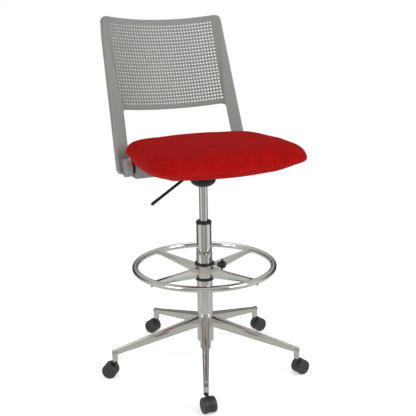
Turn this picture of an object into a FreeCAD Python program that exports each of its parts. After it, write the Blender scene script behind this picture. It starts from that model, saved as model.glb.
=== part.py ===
"""A drafting chair: five-arm base on castors, gas lift, footring, seat and a reclining perforated back.

Millimetres. The origin is on the floor under the column, +Z is up and the sitter faces -Y.
"""
import FreeCAD, Part
import math
import os
import re
import Sketcher
from FreeCAD import Placement, Rotation, Vector

doc = FreeCAD.newDocument("DraftingChair")
sheet = doc.addObject("Spreadsheet::Sheet", "Sizes")
aliases = []
pieces = []

UP = Vector(0, 0, 1)
ACROSS = Vector(1, 0, 0)
BACKWARD = Vector(0, 1, 0)


# ---------------------------------------------------------------- driving dimensions

def dimension(alias, number, meaning):
    """One driving size, in its own named cell."""
    row = len(aliases) + 1
    sheet.set(f"A{row}", meaning)
    sheet.set(f"B{row}", str(number))
    sheet.setAlias(f"B{row}", alias)
    aliases.append(alias)


dimension("fit_gap", 0.05, "radial clearance of a running fit")
dimension("free_gap", 0.4, "clearance between pieces that pass each other")

dimension("arm_reach", 319, "column axis to castor axis")
dimension("arm_end_top", 99, "height of an arm's top at its end")
dimension("arm_end_depth", 18, "depth of an arm at its end")
dimension("arm_end_width", 17, "width of an arm at its end, and of its foot")
dimension("arm_root_top", 180, "height of an arm's top at the hub")
dimension("arm_root_depth", 38, "depth of an arm at the hub")
dimension("arm_root_width", 27, "width of an arm at the hub")
dimension("foot_low", 60, "height of the face that a castor stands under")
dimension("hub_width", 58, "diameter of the base's hub")
dimension("hub_top", 184, "top of the hub")
dimension("hub_low", 85, "underside of the hub")
dimension("spigot_width", 38, "diameter of the hub's lower spigot")
dimension("spigot_low", 55, "underside of the lower spigot")

dimension("stand_width", 50, "outer diameter of the stand tube")
dimension("stand_wall", 2, "wall of the stand tube")
dimension("stand_low", 92, "underside of the stand tube")
dimension("stand_top", 505, "top of the stand tube")
dimension("sleeve_wall", 1.6, "wall of the column sleeve")
dimension("sleeve_top", 420, "top of the column sleeve")
dimension("collar_lip", 1.25, "how far the guide bush's collar stands past the stand tube")
dimension("collar_width", "=stand_width + 2 * collar_lip", "diameter of the guide bush's collar")
dimension("collar_tall", 10, "height of the guide bush's collar")
dimension("guide_long", 100, "length of the guide bush inside the stand tube")
dimension("gas_width", 28, "outer diameter of the pressure tube")
dimension("gas_wall", 2.5, "wall of the pressure tube")
dimension("gas_low", 358, "lower end of the pressure tube")
dimension("gas_top", 672, "top of the pressure tube")
dimension("seal_tall", 14, "height of the rod seal")
dimension("rod_width", 10, "diameter of the piston rod")
dimension("rod_low", 64, "lower end of the piston rod")
dimension("piston_low", 478, "underside of the piston")
dimension("piston_tall", 12, "height of the piston")

dimension("hoop_reach", 233, "radius of the footring's centre line")
dimension("hoop_width", 20, "diameter of the footring's tube")
dimension("hoop_mid", 359, "height of the footring's centre line")
dimension("carrier_width", 59, "outer diameter of the footring's hub")
dimension("carrier_low", 318, "underside of the footring's hub")
dimension("carrier_top", 361, "top of the footring's hub")
dimension("flange_width", 66, "diameter of the two black flanges")
dimension("flange_tall", 9, "height of the lower flange")
dimension("collet_tall", 10, "height of the clamping collar")
dimension("bush_wall", 1.5, "wall of the bushes inside the footring's hub")
dimension("spoke_root", 38, "depth of a footring spoke at the hub")
dimension("spoke_end", 12, "depth of a footring spoke at the ring")
dimension("spoke_wide", 12, "width of a footring spoke")
dimension("knob_width", 26, "largest diameter of the clamp knob")
dimension("knob_long", 28, "length of the clamp knob")
dimension("screw_width", 8, "diameter of the clamp screw")

dimension("wheel_width", 50, "diameter of a castor wheel")
dimension("wheel_thick", 17, "thickness of a castor wheel")
dimension("wheel_space", 8, "space between the two wheels of a castor")
dimension("castor_trail", 18, "castor stem to castor axle")
dimension("axle_width", 6, "diameter of a castor axle")
dimension("stem_width", 10, "diameter of a castor stem")
dimension("stem_long", 26, "length of a castor stem above the hood")

dimension("cup_low", 632, "underside of the cup on the column's top")
dimension("housing_low", 650, "underside of the mechanism housing's pan")
dimension("pan_width", 84, "diameter of the mechanism housing's pan")
dimension("tray_low", 686, "underside of the mechanism housing's tray")
dimension("housing_wide", 124, "width of the mechanism housing's tray")
dimension("housing_long", 170, "length of the mechanism housing's tray")
dimension("housing_wall", 3, "wall of the mechanism housing")
dimension("board_low", 706, "underside of the seat board")
dimension("board_thick", 7, "thickness of the seat board")
dimension("cushion_top", 778, "top of the cushion")
dimension("cushion_front", 252, "column axis to the cushion's front edge")
dimension("cushion_rear", 146, "column axis to the cushion's rear edge")
dimension("cushion_half", 256, "half of the cushion's width towards the front")
dimension("cushion_half_rear", 232, "half of the cushion's width at the rear")
dimension("board_inset", 6, "cushion's foot to the board's edge")
dimension("foot_tall", 10, "height of the cushion's foot, which is narrower than its top")
dimension("foot_half_rear", 188, "half of the width of the cushion's foot between the bosses")
dimension("foot_half", 194, "half of the width of the cushion's foot towards the front")
dimension("foot_set_back", 5, "cushion's front edge to its foot")
dimension("lever_width", 9.5, "diameter of the release lever")

dimension("pivot_height", 691, "height of the back's pivot axis")
dimension("pivot_rear", 128, "column axis to the back's pivot axis")
dimension("boss_width", 61, "diameter of the round bosses at the foot of the back")
dimension("boss_thick", 22, "thickness of a boss")
dimension("boss_outer", 227, "column axis to a boss's outer face")
dimension("pin_width", 12, "diameter of a pivot pin")
dimension("beam_half", 194, "half of the rear beam's length")
dimension("beam_deep", 52, "height of the rear beam")
dimension("beam_wide", 48, "width of the rear beam, front to rear")
dimension("bush_width", 39, "diameter of the rubber bushes at the pivots")
dimension("bolt_width", 6, "diameter of the seat screws")
dimension("recline", 19.1, "slope of the back from upright, in degrees")
dimension("shell_half", 241.5, "half of the back's width at the pivot")
dimension("shell_half_top", 220.8, "half of the back's width at its top")
dimension("shell_sag", 65, "depth of the back's curve in plan")
dimension("shell_rear", 136.4, "column axis to the back's edge at pivot height")
dimension("shell_top", 523.4, "pivot to the back's top edge, along the slope")
dimension("shell_window", 200.7, "pivot to the back's lower edge, along the slope")
dimension("shell_thick", 4, "thickness of the perforated back")
dimension("upright_face", 43, "width of an upright's face")
dimension("upright_thick", 14, "thickness of an upright")
doc.recompute()

CASTORS = {1: -92.9, 2: 11.1, 3: 10.1, 4: 125.1, 5: 141.1}
ARM_TURN = -114.7
ARM_STEP = 72
FOOTRING_TURN = 20.5
KNOB_TURN = -44.5


def value(alias):
    """A size as a plain number, for a shape or place that no formula sets."""
    return float(sheet.get(alias))


# ---------------------------------------------------------------- small builders

def formula(text):
    """The text as an expression: each bare alias reads its cell."""
    return re.sub(r"[a-z]\w+", lambda word: "Sizes." + word[0] if word[0] in aliases else word[0], text)


def bind(thing, **formulas):
    """Tie properties to formulas on the sheet."""
    for name, text in formulas.items():
        thing.setExpression(name, formula(text))


def place(thing, x="0", y="0", z="0", rotation=None):
    """Turn a thing about its own origin and put that origin at x, y, z."""
    thing.Placement = Placement(Vector(0, 0, 0), rotation or Rotation())
    for axis, text in zip("xyz", (x, y, z)):
        thing.setExpression("Placement.Base." + axis, formula(text))
    return thing


def piece(thing, label):
    """Name a finished piece; its label names its file."""
    thing.Label = label
    pieces.append(thing)
    return thing


def body_named(label):
    body = doc.addObject("PartDesign::Body", label)
    body.Label = label
    return body


def origin_part(body, role):
    return next(part for part in body.Origin.OriginFeatures if part.Role == role)


def outline(body, name, role, corners, lift="0"):
    """A closed outline of straight runs on one of the body's planes, each corner bound to the sheet."""
    sketch = body.newObject("Sketcher::SketchObject", name)
    sketch.AttachmentSupport = [(origin_part(body, role), "")]
    sketch.MapMode = "FlatFace"
    sketch.setExpression("AttachmentOffset.Base.z", formula(lift))
    count = len(corners)
    turns = [2 * math.pi * number / count for number in range(count)]
    start = [Vector(math.cos(turn), math.sin(turn), 0) for turn in turns]
    for number in range(count):
        sketch.addGeometry(Part.LineSegment(start[number], start[(number + 1) % count]), False)
    for number in range(count):
        sketch.addConstraint(Sketcher.Constraint("Coincident", number, 2, (number + 1) % count, 1))
    for number, (across, along) in enumerate(corners):
        for kind, first, text in (("DistanceX", start[number].x, across), ("DistanceY", start[number].y, along)):
            index = sketch.addConstraint(Sketcher.Constraint(kind, -1, 1, number, 1, first))
            sketch.setExpression(f"Constraints[{index}]", formula(text))
    return sketch


def turned(label, corners):
    """A piece turned about Z from an outline of (radius, height) corners."""
    body = body_named(label)
    turning = body.newObject("PartDesign::Revolution", label + "_turning")
    turning.Profile = outline(body, label + "_outline", "XZ_Plane", corners)
    turning.ReferenceAxis = (turning.Profile[0], ["V_Axis"])
    turning.Angle = 360
    return body


def padded(label, corners, length, role="XY_Plane", lift="0", both_ways=False):
    """A piece with one outline all along its length."""
    body = body_named(label)
    pad = body.newObject("PartDesign::Pad", label + "_pad")
    pad.Profile = outline(body, label + "_outline", role, corners, lift)
    pad.Midplane = both_ways
    bind(pad, Length=length)
    return body


def rounded(body, radius, chosen, name="rounding"):
    """Round the edges that the test picks out."""
    doc.recompute()
    before = body.Tip
    edges = [f"Edge{number}" for number, edge in enumerate(before.Shape.Edges, 1) if chosen(edge)]
    fillet = body.newObject("PartDesign::Fillet", f"{body.Name}_{name}")
    fillet.Base = (before, edges)
    bind(fillet, Radius=radius)
    return body


def rod(name, radius, length, **where):
    """A plain cylinder along its own Z axis."""
    cylinder = doc.addObject("Part::Cylinder", name)
    bind(cylinder, Radius=radius, Height=length)
    return place(cylinder, **where)


def block(name, length, width, height, **where):
    """A plain box from its lowest corner."""
    box = doc.addObject("Part::Box", name)
    bind(box, Length=length, Width=width, Height=height)
    return place(box, **where)


def joined(name, *shapes):
    fused = doc.addObject("Part::MultiFuse", name)
    fused.Shapes = list(shapes)
    return fused


def less(name, base, *tools):
    """The base with each tool cut away."""
    for number, tool in enumerate(tools, 1):
        cut = doc.addObject("Part::Cut", name if number == len(tools) else f"{name}_cut_{number}")
        cut.Base = base
        cut.Tool = tool
        base = cut
    return base


def tube(label, outer, bore, low, high):
    """A turned tube between two heights, by its two radii."""
    return piece(turned(label, [(bore, low), (outer, low), (outer, high), (bore, high)]), label)


def level(edge, height):
    """Whether an edge lies flat at a height."""
    box = edge.BoundBox
    return abs(box.ZMin - height) < 0.01 and abs(box.ZMax - height) < 0.01


def upright_edge(edge):
    """Whether an edge runs straight up."""
    box = edge.BoundBox
    return box.XLength < 0.01 and box.YLength < 0.01


def round_edge(edge):
    """Whether an edge is a circle or an arc."""
    return isinstance(edge.Curve, Part.Circle)


# ---------------------------------------------------------------- star base

def arm_section(body, name, lift, width, top, depth, shoulder):
    """An arm's section across its length: a narrow flat crown, sloped shoulders and straight sides."""
    return outline(body, name, "YZ_Plane", [
        (f"-{width} / 2", f"{top} - {depth}"),
        (f"{width} / 2", f"{top} - {depth}"),
        (f"{width} / 2", f"{top} - {shoulder}"),
        (f"{width} / 5", top),
        (f"-{width} / 5", top),
        (f"-{width} / 2", f"{top} - {shoulder}"),
    ], lift)


def star_base():
    """Cast aluminium: a hub, five arms and the foot at each arm's end that takes a castor's stem."""
    body = turned("star_base", [
        ("0", "spigot_low"), ("spigot_width / 2 - 2", "spigot_low"), ("spigot_width / 2", "spigot_low + 2"),
        ("spigot_width / 2", "hub_low"), ("hub_width / 2 - 4", "hub_low"), ("hub_width / 2 - 1", "hub_low + 3"),
        ("hub_width / 2", "hub_top - 2"), ("hub_width / 2 - 2", "hub_top"), ("0", "hub_top"),
    ])
    arm = body.newObject("PartDesign::AdditiveLoft", "arm")
    arm.Profile = arm_section(body, "arm_root", "stand_width / 2", "arm_root_width", "arm_root_top",
                              "arm_root_depth", "7")
    arm.Sections = [arm_section(body, "arm_end", "arm_reach + arm_end_width / 2", "arm_end_width",
                                "arm_end_top", "arm_end_depth", "4")]
    foot = body.newObject("PartDesign::Pad", "foot")
    foot.Profile = outline(body, "foot_outline", "XY_Plane", [
        ("arm_reach - arm_end_width / 2", "-arm_end_width / 2"),
        ("arm_reach + arm_end_width / 2", "-arm_end_width / 2"),
        ("arm_reach + arm_end_width / 2", "arm_end_width / 2"),
        ("arm_reach - arm_end_width / 2", "arm_end_width / 2"),
    ], "foot_low")
    bind(foot, Length="arm_end_top - 4 - foot_low")
    arms = body.newObject("PartDesign::PolarPattern", "arms")
    arms.Originals = [arm, foot]
    arms.Axis = (origin_part(body, "Z_Axis"), [""])
    arms.Angle = 360
    arms.Occurrences = 5
    body.Tip = arms

    bore = body.newObject("PartDesign::Groove", "column_bore")
    bore.Profile = outline(body, "column_bore_outline", "XZ_Plane", [
        ("0", "spigot_low - 5"), ("rod_width", "spigot_low - 5"), ("rod_width", "stand_low"),
        ("stand_width / 2", "stand_low"), ("stand_width / 2", "hub_top + 5"), ("0", "hub_top + 5"),
    ])
    bore.ReferenceAxis = (bore.Profile[0], ["V_Axis"])
    bore.Angle = 360

    socket = body.newObject("PartDesign::Pocket", "stem_socket")
    socket.Profile = stem_circle(body)
    socket.Reversed = True
    bind(socket, Length="stem_long + 1")
    sockets = body.newObject("PartDesign::PolarPattern", "stem_sockets")
    sockets.Originals = [socket]
    sockets.Axis = (origin_part(body, "Z_Axis"), [""])
    sockets.Angle = 360
    sockets.Occurrences = 5
    body.Tip = sockets
    place(body, rotation=Rotation(UP, ARM_TURN))
    return piece(body, "star_base")


def stem_circle(body):
    """The mouth of the socket for a castor's stem, under an arm's foot."""
    sketch = body.newObject("Sketcher::SketchObject", "stem_circle")
    sketch.AttachmentSupport = [(origin_part(body, "XY_Plane"), "")]
    sketch.MapMode = "FlatFace"
    sketch.setExpression("AttachmentOffset.Base.z", formula("foot_low"))
    sketch.addGeometry(Part.Circle(Vector(value("arm_reach"), 0, 0), UP, value("stem_width") / 2), False)
    sketch.addConstraint(Sketcher.Constraint("PointOnObject", 0, 3, -1))
    reach = sketch.addConstraint(Sketcher.Constraint("DistanceX", -1, 1, 0, 3, value("arm_reach")))
    radius = sketch.addConstraint(Sketcher.Constraint("Radius", 0, value("stem_width") / 2))
    sketch.setExpression(f"Constraints[{reach}]", formula("arm_reach"))
    sketch.setExpression(f"Constraints[{radius}]", formula("stem_width / 2 + fit_gap"))
    return sketch


star_base()


# ---------------------------------------------------------------- column and gas lift

piece(turned("stand_tube", [
    ("rod_width / 2 + 2", "stand_low"), ("stand_width / 2", "stand_low"), ("stand_width / 2", "stand_top"),
    ("stand_width / 2 - stand_wall", "stand_top"), ("stand_width / 2 - stand_wall", "stand_low + 4"),
    ("rod_width / 2 + 2", "stand_low + 4"),
]), "stand_tube")

tube("column_sleeve", "stand_width / 2 + sleeve_wall", "stand_width / 2", "hub_top", "sleeve_top")

piece(rounded(turned("guide_bush", [
    ("gas_width / 2 + fit_gap", "stand_top - guide_long"),
    ("stand_width / 2 - stand_wall", "stand_top - guide_long"),
    ("stand_width / 2 - stand_wall", "stand_top"), ("collar_width / 2", "stand_top"),
    ("collar_width / 2", "stand_top + collar_tall"), ("gas_width / 2 + fit_gap", "stand_top + collar_tall"),
]), "collar_tall / 3", lambda edge: level(edge, value("stand_top") + value("collar_tall"))
    and edge.BoundBox.XLength > value("stand_width")), "guide_bush")

tube("thrust_bearing", "rod_width + 4", "rod_width / 2 + fit_gap", "stand_low + 4", "stand_low + 9")

piece(turned("piston_rod", [
    ("0", "rod_low"), ("rod_width / 2", "rod_low"), ("rod_width / 2", "stand_low + 9"),
    ("rod_width / 2 + 3", "stand_low + 9"), ("rod_width / 2 + 3", "stand_low + 12"),
    ("rod_width / 2", "stand_low + 12"), ("rod_width / 2", "piston_low"), ("rod_width / 3", "piston_low"),
    ("rod_width / 3", "piston_low + piston_tall + 3"), ("0", "piston_low + piston_tall + 3"),
]), "piston_rod")
tube("piston", "gas_width / 2 - gas_wall - fit_gap", "rod_width / 3", "piston_low", "piston_low + piston_tall")
tube("rod_clip", "rod_width * 0.85", "rod_width / 2", "rod_low + 4", "rod_low + 6")

piece(turned("pressure_tube", [
    ("gas_width / 2 - gas_wall", "gas_low"), ("gas_width / 2", "gas_low"), ("gas_width / 2", "gas_top"),
    ("6", "gas_top"), ("6", "gas_top - 5"), ("gas_width / 2 - gas_wall", "gas_top - 5"),
]), "pressure_tube")
tube("rod_seal", "gas_width / 2 - gas_wall", "rod_width / 2 + fit_gap", "gas_low", "gas_low + seal_tall")
piece(turned("release_pin", [
    ("0", "gas_top - 30"), ("4", "gas_top - 30"), ("4", "gas_top + 8"), ("0", "gas_top + 8"),
]), "release_pin")


# ---------------------------------------------------------------- footring

def footring():
    """The hoop, its four spokes and hub, which turn between a lower bush and the clamping collar."""
    sleeve = "stand_width / 2 + sleeve_wall"
    inner = f"{sleeve} + fit_gap"
    spigot = f"{inner} + bush_wall"
    piece(rounded(turned("ring_bush", [
        (inner, "carrier_low - flange_tall"), ("flange_width / 2", "carrier_low - flange_tall"),
        ("flange_width / 2", "carrier_low - 0.2"), (spigot, "carrier_low - 0.2"),
        (spigot, "carrier_low + 14"), (inner, "carrier_low + 14"),
    ]), "flange_tall / 4", lambda edge: round_edge(edge)
        and edge.Curve.Radius > value("flange_width") / 2 - 0.1), "ring_bush")
    collar = rounded(turned("collar_turning", [
        (inner, "carrier_top - 14"), (spigot, "carrier_top - 14"), (spigot, "carrier_top + 0.2"),
        ("flange_width / 2", "carrier_top + 0.2"), ("flange_width / 2", "carrier_top + collet_tall"),
        (inner, "carrier_top + collet_tall"),
    ]), "flange_tall / 4", lambda edge: round_edge(edge)
        and edge.Curve.Radius > value("flange_width") / 2 - 0.1)
    along_knob = Rotation(UP, KNOB_TURN) * Rotation(BACKWARD, 90)
    knob_height = "carrier_top + collet_tall / 2 + 0.2"
    boss_place = at_knob("flange_width / 2 - 3", knob_height)
    boss = place(rod("collar_boss", "collet_tall / 2", "8"), rotation=along_knob, **boss_place)
    screw_way = place(rod("collar_thread", "screw_width / 2 + fit_gap", "30"), rotation=along_knob,
                      **at_knob("stand_width / 2", knob_height))
    piece(less("ring_collar", joined("collar_solid", collar, boss), screw_way), "ring_collar")

    tube("ring_hub", "carrier_width / 2", f"{spigot} + fit_gap", "carrier_low", "carrier_top")

    hoop = doc.addObject("Part::Torus", "foot_hoop")
    bind(hoop, Radius1="hoop_reach", Radius2="hoop_width / 2")
    piece(place(hoop, z="hoop_mid"), "foot_hoop")
    seat_on_hub = rod("spoke_seat", "carrier_width / 2", "200", z="carrier_low - 60")
    seat_on_hoop = doc.addObject("Part::Torus", "spoke_end_seat")
    bind(seat_on_hoop, Radius1="hoop_reach", Radius2="hoop_width / 2")
    place(seat_on_hoop, z="hoop_mid")
    piece(less("ring_spokes", joined("spoke_blades", *[spoke(number) for number in range(4)]), seat_on_hub,
               seat_on_hoop), "ring_spokes")

    piece(place(rod("clamp_pad", "screw_width / 2 - 0.5", "2.5"), rotation=along_knob,
                **at_knob(f"{sleeve} + 0.3", knob_height)), "clamp_pad")
    piece(place(rod("clamp_screw", "screw_width / 2", "flange_width / 2 + 25 - stand_width / 2 - sleeve_wall"),
                rotation=along_knob, **at_knob(f"{sleeve} + 2.8", knob_height)), "clamp_screw")
    knob = turned("clamp_knob", [
        ("screw_width / 2", "0"), ("knob_width * 0.3", "0"), ("knob_width * 0.34", "knob_long * 0.18"),
        ("knob_width / 2", "knob_long * 0.85"), ("knob_width * 0.44", "knob_long"), ("0", "knob_long"),
        ("0", "14"), ("screw_width / 2", "14"),
    ])
    piece(place(knob, rotation=along_knob, **at_knob("flange_width / 2 + 14", knob_height)), "clamp_knob")


def at_knob(reach, height):
    """A place on the clamp screw's axis, at a reach from the column."""
    turn = f"{KNOB_TURN} * 1 deg"
    return {"x": f"({reach}) * cos({turn})", "y": f"({reach}) * sin({turn})", "z": height}


def spoke(number):
    """A blade that is deep at the hub and thin under the ring, with a ridge along its top."""
    body = body_named(f"spoke_{number}")
    blade = body.newObject("PartDesign::AdditiveLoft", f"spoke_{number}_blade")

    def section(name, lift, width, top, depth):
        return outline(body, name, "YZ_Plane", [
            (f"-{width} / 2", f"{top} - {depth}"), (f"{width} / 2", f"{top} - {depth}"),
            (f"{width} / 2", f"{top} - 4"), (f"{width} / 6", top), (f"-{width} / 6", top),
            (f"-{width} / 2", f"{top} - 4"),
        ], lift)

    blade.Profile = section(f"spoke_{number}_root", "carrier_width / 2 - 3", "spoke_wide", "(carrier_top - 3)",
                            "spoke_root")
    blade.Sections = [section(f"spoke_{number}_end", "hoop_reach - hoop_width / 2 + 3", "spoke_wide",
                              "(hoop_mid + 5)", "spoke_end")]
    place(body, rotation=Rotation(UP, FOOTRING_TURN + 90 * number))
    return body


footring()


# ---------------------------------------------------------------- castors

def castor(number, heading):
    """A twin-wheel castor under one arm: stem, hood, axle and two wheels, trailing towards a heading."""
    arm = ARM_TURN + ARM_STEP * (number - 1)
    trail = Rotation(UP, heading)
    across = trail * Rotation(ACROSS, -90)

    def at(along, side, height):
        """A place by its distance along the trail and to the side of it."""
        return {
            "x": f"arm_reach * cos({arm} * 1 deg) + ({along}) * cos({heading} * 1 deg)"
                 f" - ({side}) * sin({heading} * 1 deg)",
            "y": f"arm_reach * sin({arm} * 1 deg) + ({along}) * sin({heading} * 1 deg)"
                 f" + ({side}) * cos({heading} * 1 deg)",
            "z": height,
        }

    def name(what):
        return f"castor_{number}_{what}"

    piece(rod(name("stem"), "stem_width / 2", "foot_low + stem_long - 50", rotation=Rotation(),
              **at("0", "0", "50")), name("stem"))
    piece(rod(name("axle"), "axle_width / 2", "wheel_space + 2 * wheel_thick - 6", rotation=across,
              **at("castor_trail", "-(wheel_space / 2 + wheel_thick - 3)", "wheel_width / 2")), name("axle"))

    web = rod(name("web"), "wheel_width / 2 - 1.5", "wheel_space - 1.5", rotation=across,
              **at("castor_trail", "-(wheel_space - 1.5) / 2", "wheel_width / 2"))
    neck = rod(name("neck"), "arm_end_width / 2 - 0.5", "foot_low - 0.4 - 49", rotation=Rotation(),
               **at("0", "0", "49"))
    throat = block(name("throat"), "castor_trail", "wheel_space - 1.5", "24", rotation=trail,
                   **at("-4", "-(wheel_space - 1.5) / 2", "foot_low - 32"))
    stem_hole = rod(name("stem_hole"), "stem_width / 2", "30", rotation=Rotation(), **at("0", "0", "50"))
    axle_hole = rod(name("axle_hole"), "axle_width / 2", "wheel_space + 4", rotation=across,
                    **at("castor_trail", "-(wheel_space + 4) / 2", "wheel_width / 2"))
    hood = joined(name("hood_solid"), web, neck, throat)
    piece(less(name("hood"), hood, stem_hole, axle_hole), name("hood"))

    for side, sign in (("left", 1), ("right", -1)):
        wheel = rounded(turned(name(f"wheel_{side}"), [
            ("axle_width / 2 + fit_gap", "0"), ("wheel_width / 2", "0"), ("wheel_width / 2", "wheel_thick"),
            ("wheel_width / 2 - 8", "wheel_thick"), ("wheel_width / 2 - 9", "wheel_thick - 1"),
            ("0", "wheel_thick - 1"), ("0", "wheel_thick - 2.5"), ("axle_width / 2 + fit_gap", "wheel_thick - 2.5"),
        ]), "4", lambda edge: round_edge(edge) and abs(edge.Curve.Radius - value("wheel_width") / 2) < 0.01)
        place(wheel, rotation=trail * Rotation(ACROSS, -90 * sign),
              **at("castor_trail", f"{sign} * wheel_space / 2", "wheel_width / 2"))
        piece(wheel, name(f"wheel_{side}"))


for castor_number, castor_heading in CASTORS.items():
    castor(castor_number, castor_heading)


# ---------------------------------------------------------------- seat and its mechanism

SEAT_SCREWS = [{"x": f"{side} * (housing_wide / 2 + 12)", "y": f"{end} * (housing_long / 2 - 16)"}
               for side in (-1, 1) for end in (-1, 1)]
BEAM_SCREWS = [{"x": f"{side} * beam_half * 0.62", "y": "pivot_rear"} for side in (-1, 1)]


def screws(label, places, head_low):
    """Round-headed screws, alike, up into the seat board."""
    group = doc.addObject("Part::Compound", label)
    made = []
    for number, where in enumerate(places):
        head = rod(f"{label}_head_{number}", "bolt_width", "3.5", z=head_low, **where)
        shank_long = f"board_low + board_thick - 1 - ({head_low})"
        shank = rod(f"{label}_shank_{number}", "bolt_width / 2", shank_long,
                    z=head_low, **where)
        made.append(joined(f"{label}_{number}", head, shank))
    group.Links = made
    return piece(group, label)


# The lever is a straight rod through the side of the housing's pan; its hub turns on a pin across the pan.
LEVER_END = Vector(-190, -28, 599)
LEVER_HUB = Vector(-22, 17.6, 681.8)
LEVER_TIP = Vector(2, 0, 684.8)


def mechanism():
    """The housing under the seat, a shallow tray with a round pan, and the cup on the column's top."""
    piece(turned("mechanism_cup", [
        ("gas_width / 2 + free_gap", "cup_low"), ("gas_width / 2 + 6", "cup_low"),
        ("gas_width / 2 + 18", "cup_low + 5"), ("pan_width / 2 - 3", "cup_low + 12"),
        ("pan_width / 2 - 1", "housing_low"), ("gas_width / 2 + free_gap", "housing_low"),
    ]), "mechanism_cup")

    pan = rod("pan", "pan_width / 2", "tray_low + housing_wall - housing_low", z="housing_low")
    tray = block("tray", "housing_wide", "housing_long", "board_low - tray_low",
                 x="-housing_wide / 2", y="-housing_long / 2", z="tray_low")
    flange = block("housing_flange", "housing_wide + 44", "housing_long", "housing_wall",
                   x="-housing_wide / 2 - 22", y="-housing_long / 2", z="board_low - housing_wall")
    pan_inside = rod("pan_inside", "pan_width / 2 - housing_wall", "board_low - housing_low",
                     z="housing_low + housing_wall")
    tray_inside = block("tray_inside", "housing_wide - 2 * housing_wall", "housing_long - 2 * housing_wall",
                        "board_low - tray_low", x="housing_wall - housing_wide / 2",
                        y="housing_wall - housing_long / 2", z="tray_low + housing_wall")
    socket = rod("taper_socket", "gas_width / 2 + 6", "gas_top - 4 - housing_low", z="housing_low")
    tube_hole = rod("tube_hole", "gas_width / 2", "gas_top - housing_low + 20", z="housing_low - 5")
    lever_slot = block("lever_slot", "20", "lever_width + 7", "22", x="-pan_width / 2 - 5",
                       y=f"{LEVER_HUB.y - 5} - lever_width / 2 - 3.5", z="tray_low - 24")
    pin_hole = rod("lever_pin_hole", "3", "pan_width", x=str(LEVER_HUB.x), y="-pan_width / 2",
                   z=str(LEVER_HUB.z), rotation=Rotation(ACROSS, -90))
    hollow = less("housing_hollow", joined("housing_shell", pan, tray, flange), pan_inside, tray_inside)
    holes = [rod(f"flange_hole_{number}", "bolt_width / 2 + fit_gap", "20", z="board_low - 12", **where)
             for number, where in enumerate(SEAT_SCREWS)]
    solid = joined("housing_solid", hollow, socket)
    piece(less("mechanism_housing", solid, tube_hole, lever_slot, pin_hole, *holes),
          "mechanism_housing")
    piece(rod("lever_pin", "3", "pan_width - 12", x=str(LEVER_HUB.x), y="6 - pan_width / 2", z=str(LEVER_HUB.z),
              rotation=Rotation(ACROSS, -90)), "lever_pin")


mechanism()


def release_lever():
    """A rod with a hub part-way along; inside the pan it ends over the release pin."""
    radius = value("lever_width") / 2
    hub = Part.makeCylinder(radius + 2, 12, LEVER_HUB - Vector(0, 6, 0), BACKWARD)
    inner_run = LEVER_TIP - LEVER_HUB
    inner = Part.makeCylinder(radius - 1, inner_run.Length, LEVER_HUB, inner_run)
    outer_run = LEVER_END - LEVER_HUB
    outer = Part.makeCylinder(radius, outer_run.Length, LEVER_HUB, outer_run)
    tip = Part.makeSphere(radius, LEVER_END)
    bore = Part.makeCylinder(3 + value("fit_gap"), 40, LEVER_HUB - Vector(0, 20, 0), BACKWARD)
    lever = doc.addObject("Part::Feature", "release_lever")
    lever.Shape = hub.fuse([inner, outer, tip]).cut(bore)
    piece(lever, "release_lever")


release_lever()


def seat_outline(inset):
    """The seat's plan: a little wider towards the front, with its corners still square."""
    return [
        (f"-(cushion_half_rear - {inset})", f"cushion_rear - {inset}"),
        (f"-(cushion_half - {inset})", "-cushion_front * 0.72"),
        (f"-(cushion_half - 12 - {inset})", f"{inset} - cushion_front + 10"),
        ("0", f"{inset} - cushion_front"),
        (f"cushion_half - 12 - {inset}", f"{inset} - cushion_front + 10"),
        (f"cushion_half - {inset}", "-cushion_front * 0.72"),
        (f"cushion_half_rear - {inset}", f"cushion_rear - {inset}"),
    ]


def foot_outline(inset):
    """The plan of the cushion's foot and of the board, narrow enough to pass the bosses."""
    return [
        (f"-(foot_half_rear - {inset})", f"cushion_rear - 10 - {inset}"),
        (f"-(foot_half - {inset})", "-cushion_front * 0.5"),
        (f"-(foot_half - 10 - {inset})", f"{inset} - cushion_front * 0.8"),
        ("0", f"{inset} + foot_set_back - cushion_front"),
        (f"foot_half - 10 - {inset}", f"{inset} - cushion_front * 0.8"),
        (f"foot_half - {inset}", "-cushion_front * 0.5"),
        (f"foot_half_rear - {inset}", f"cushion_rear - 10 - {inset}"),
    ]


def rear_corner(edge):
    return upright_edge(edge) and edge.BoundBox.YMin > 110


def front_corner(edge):
    return upright_edge(edge) and edge.BoundBox.YMin < -10 and abs(edge.BoundBox.XMin) > 10


def seat():
    """The moulded board and the upholstered cushion on it."""
    board = padded("board_plate", foot_outline("board_inset"), "board_thick", lift="board_low")
    rounded(board, "18", rear_corner, "rear_corners")
    rounded(board, "24", front_corner, "front_corners")
    holes = [rod(f"board_hole_{number}", "bolt_width / 2", "board_thick + 4", z="board_low - 5", **where)
             for number, where in enumerate(SEAT_SCREWS + BEAM_SCREWS)]
    piece(less("seat_board", board, *holes), "seat_board")
    screws("seat_screws", SEAT_SCREWS, "board_low - housing_wall - 3.5")
    screws("beam_screws", BEAM_SCREWS, "board_low - 14")

    foot = padded("cushion_foot", foot_outline("0"), "foot_tall + 2", lift="board_low + board_thick")
    rounded(foot, "24", rear_corner, "rear_corners")
    rounded(foot, "30", front_corner, "front_corners")
    pillow = padded("cushion_pillow", seat_outline("0"), "cushion_top - board_low - board_thick - foot_tall",
                    lift="board_low + board_thick + foot_tall")
    rounded(pillow, "42", rear_corner, "rear_corners")
    rounded(pillow, "48", front_corner, "front_corners")
    rounded(pillow, "24", lambda edge: level(edge, value("cushion_top")), "top")
    under = value("board_low") + value("board_thick") + value("foot_tall")
    rounded(pillow, "20", lambda edge: level(edge, under), "underside")
    piece(joined("seat_cushion", foot, pillow), "seat_cushion")


seat()


# ---------------------------------------------------------------- rear beam and back

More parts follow.
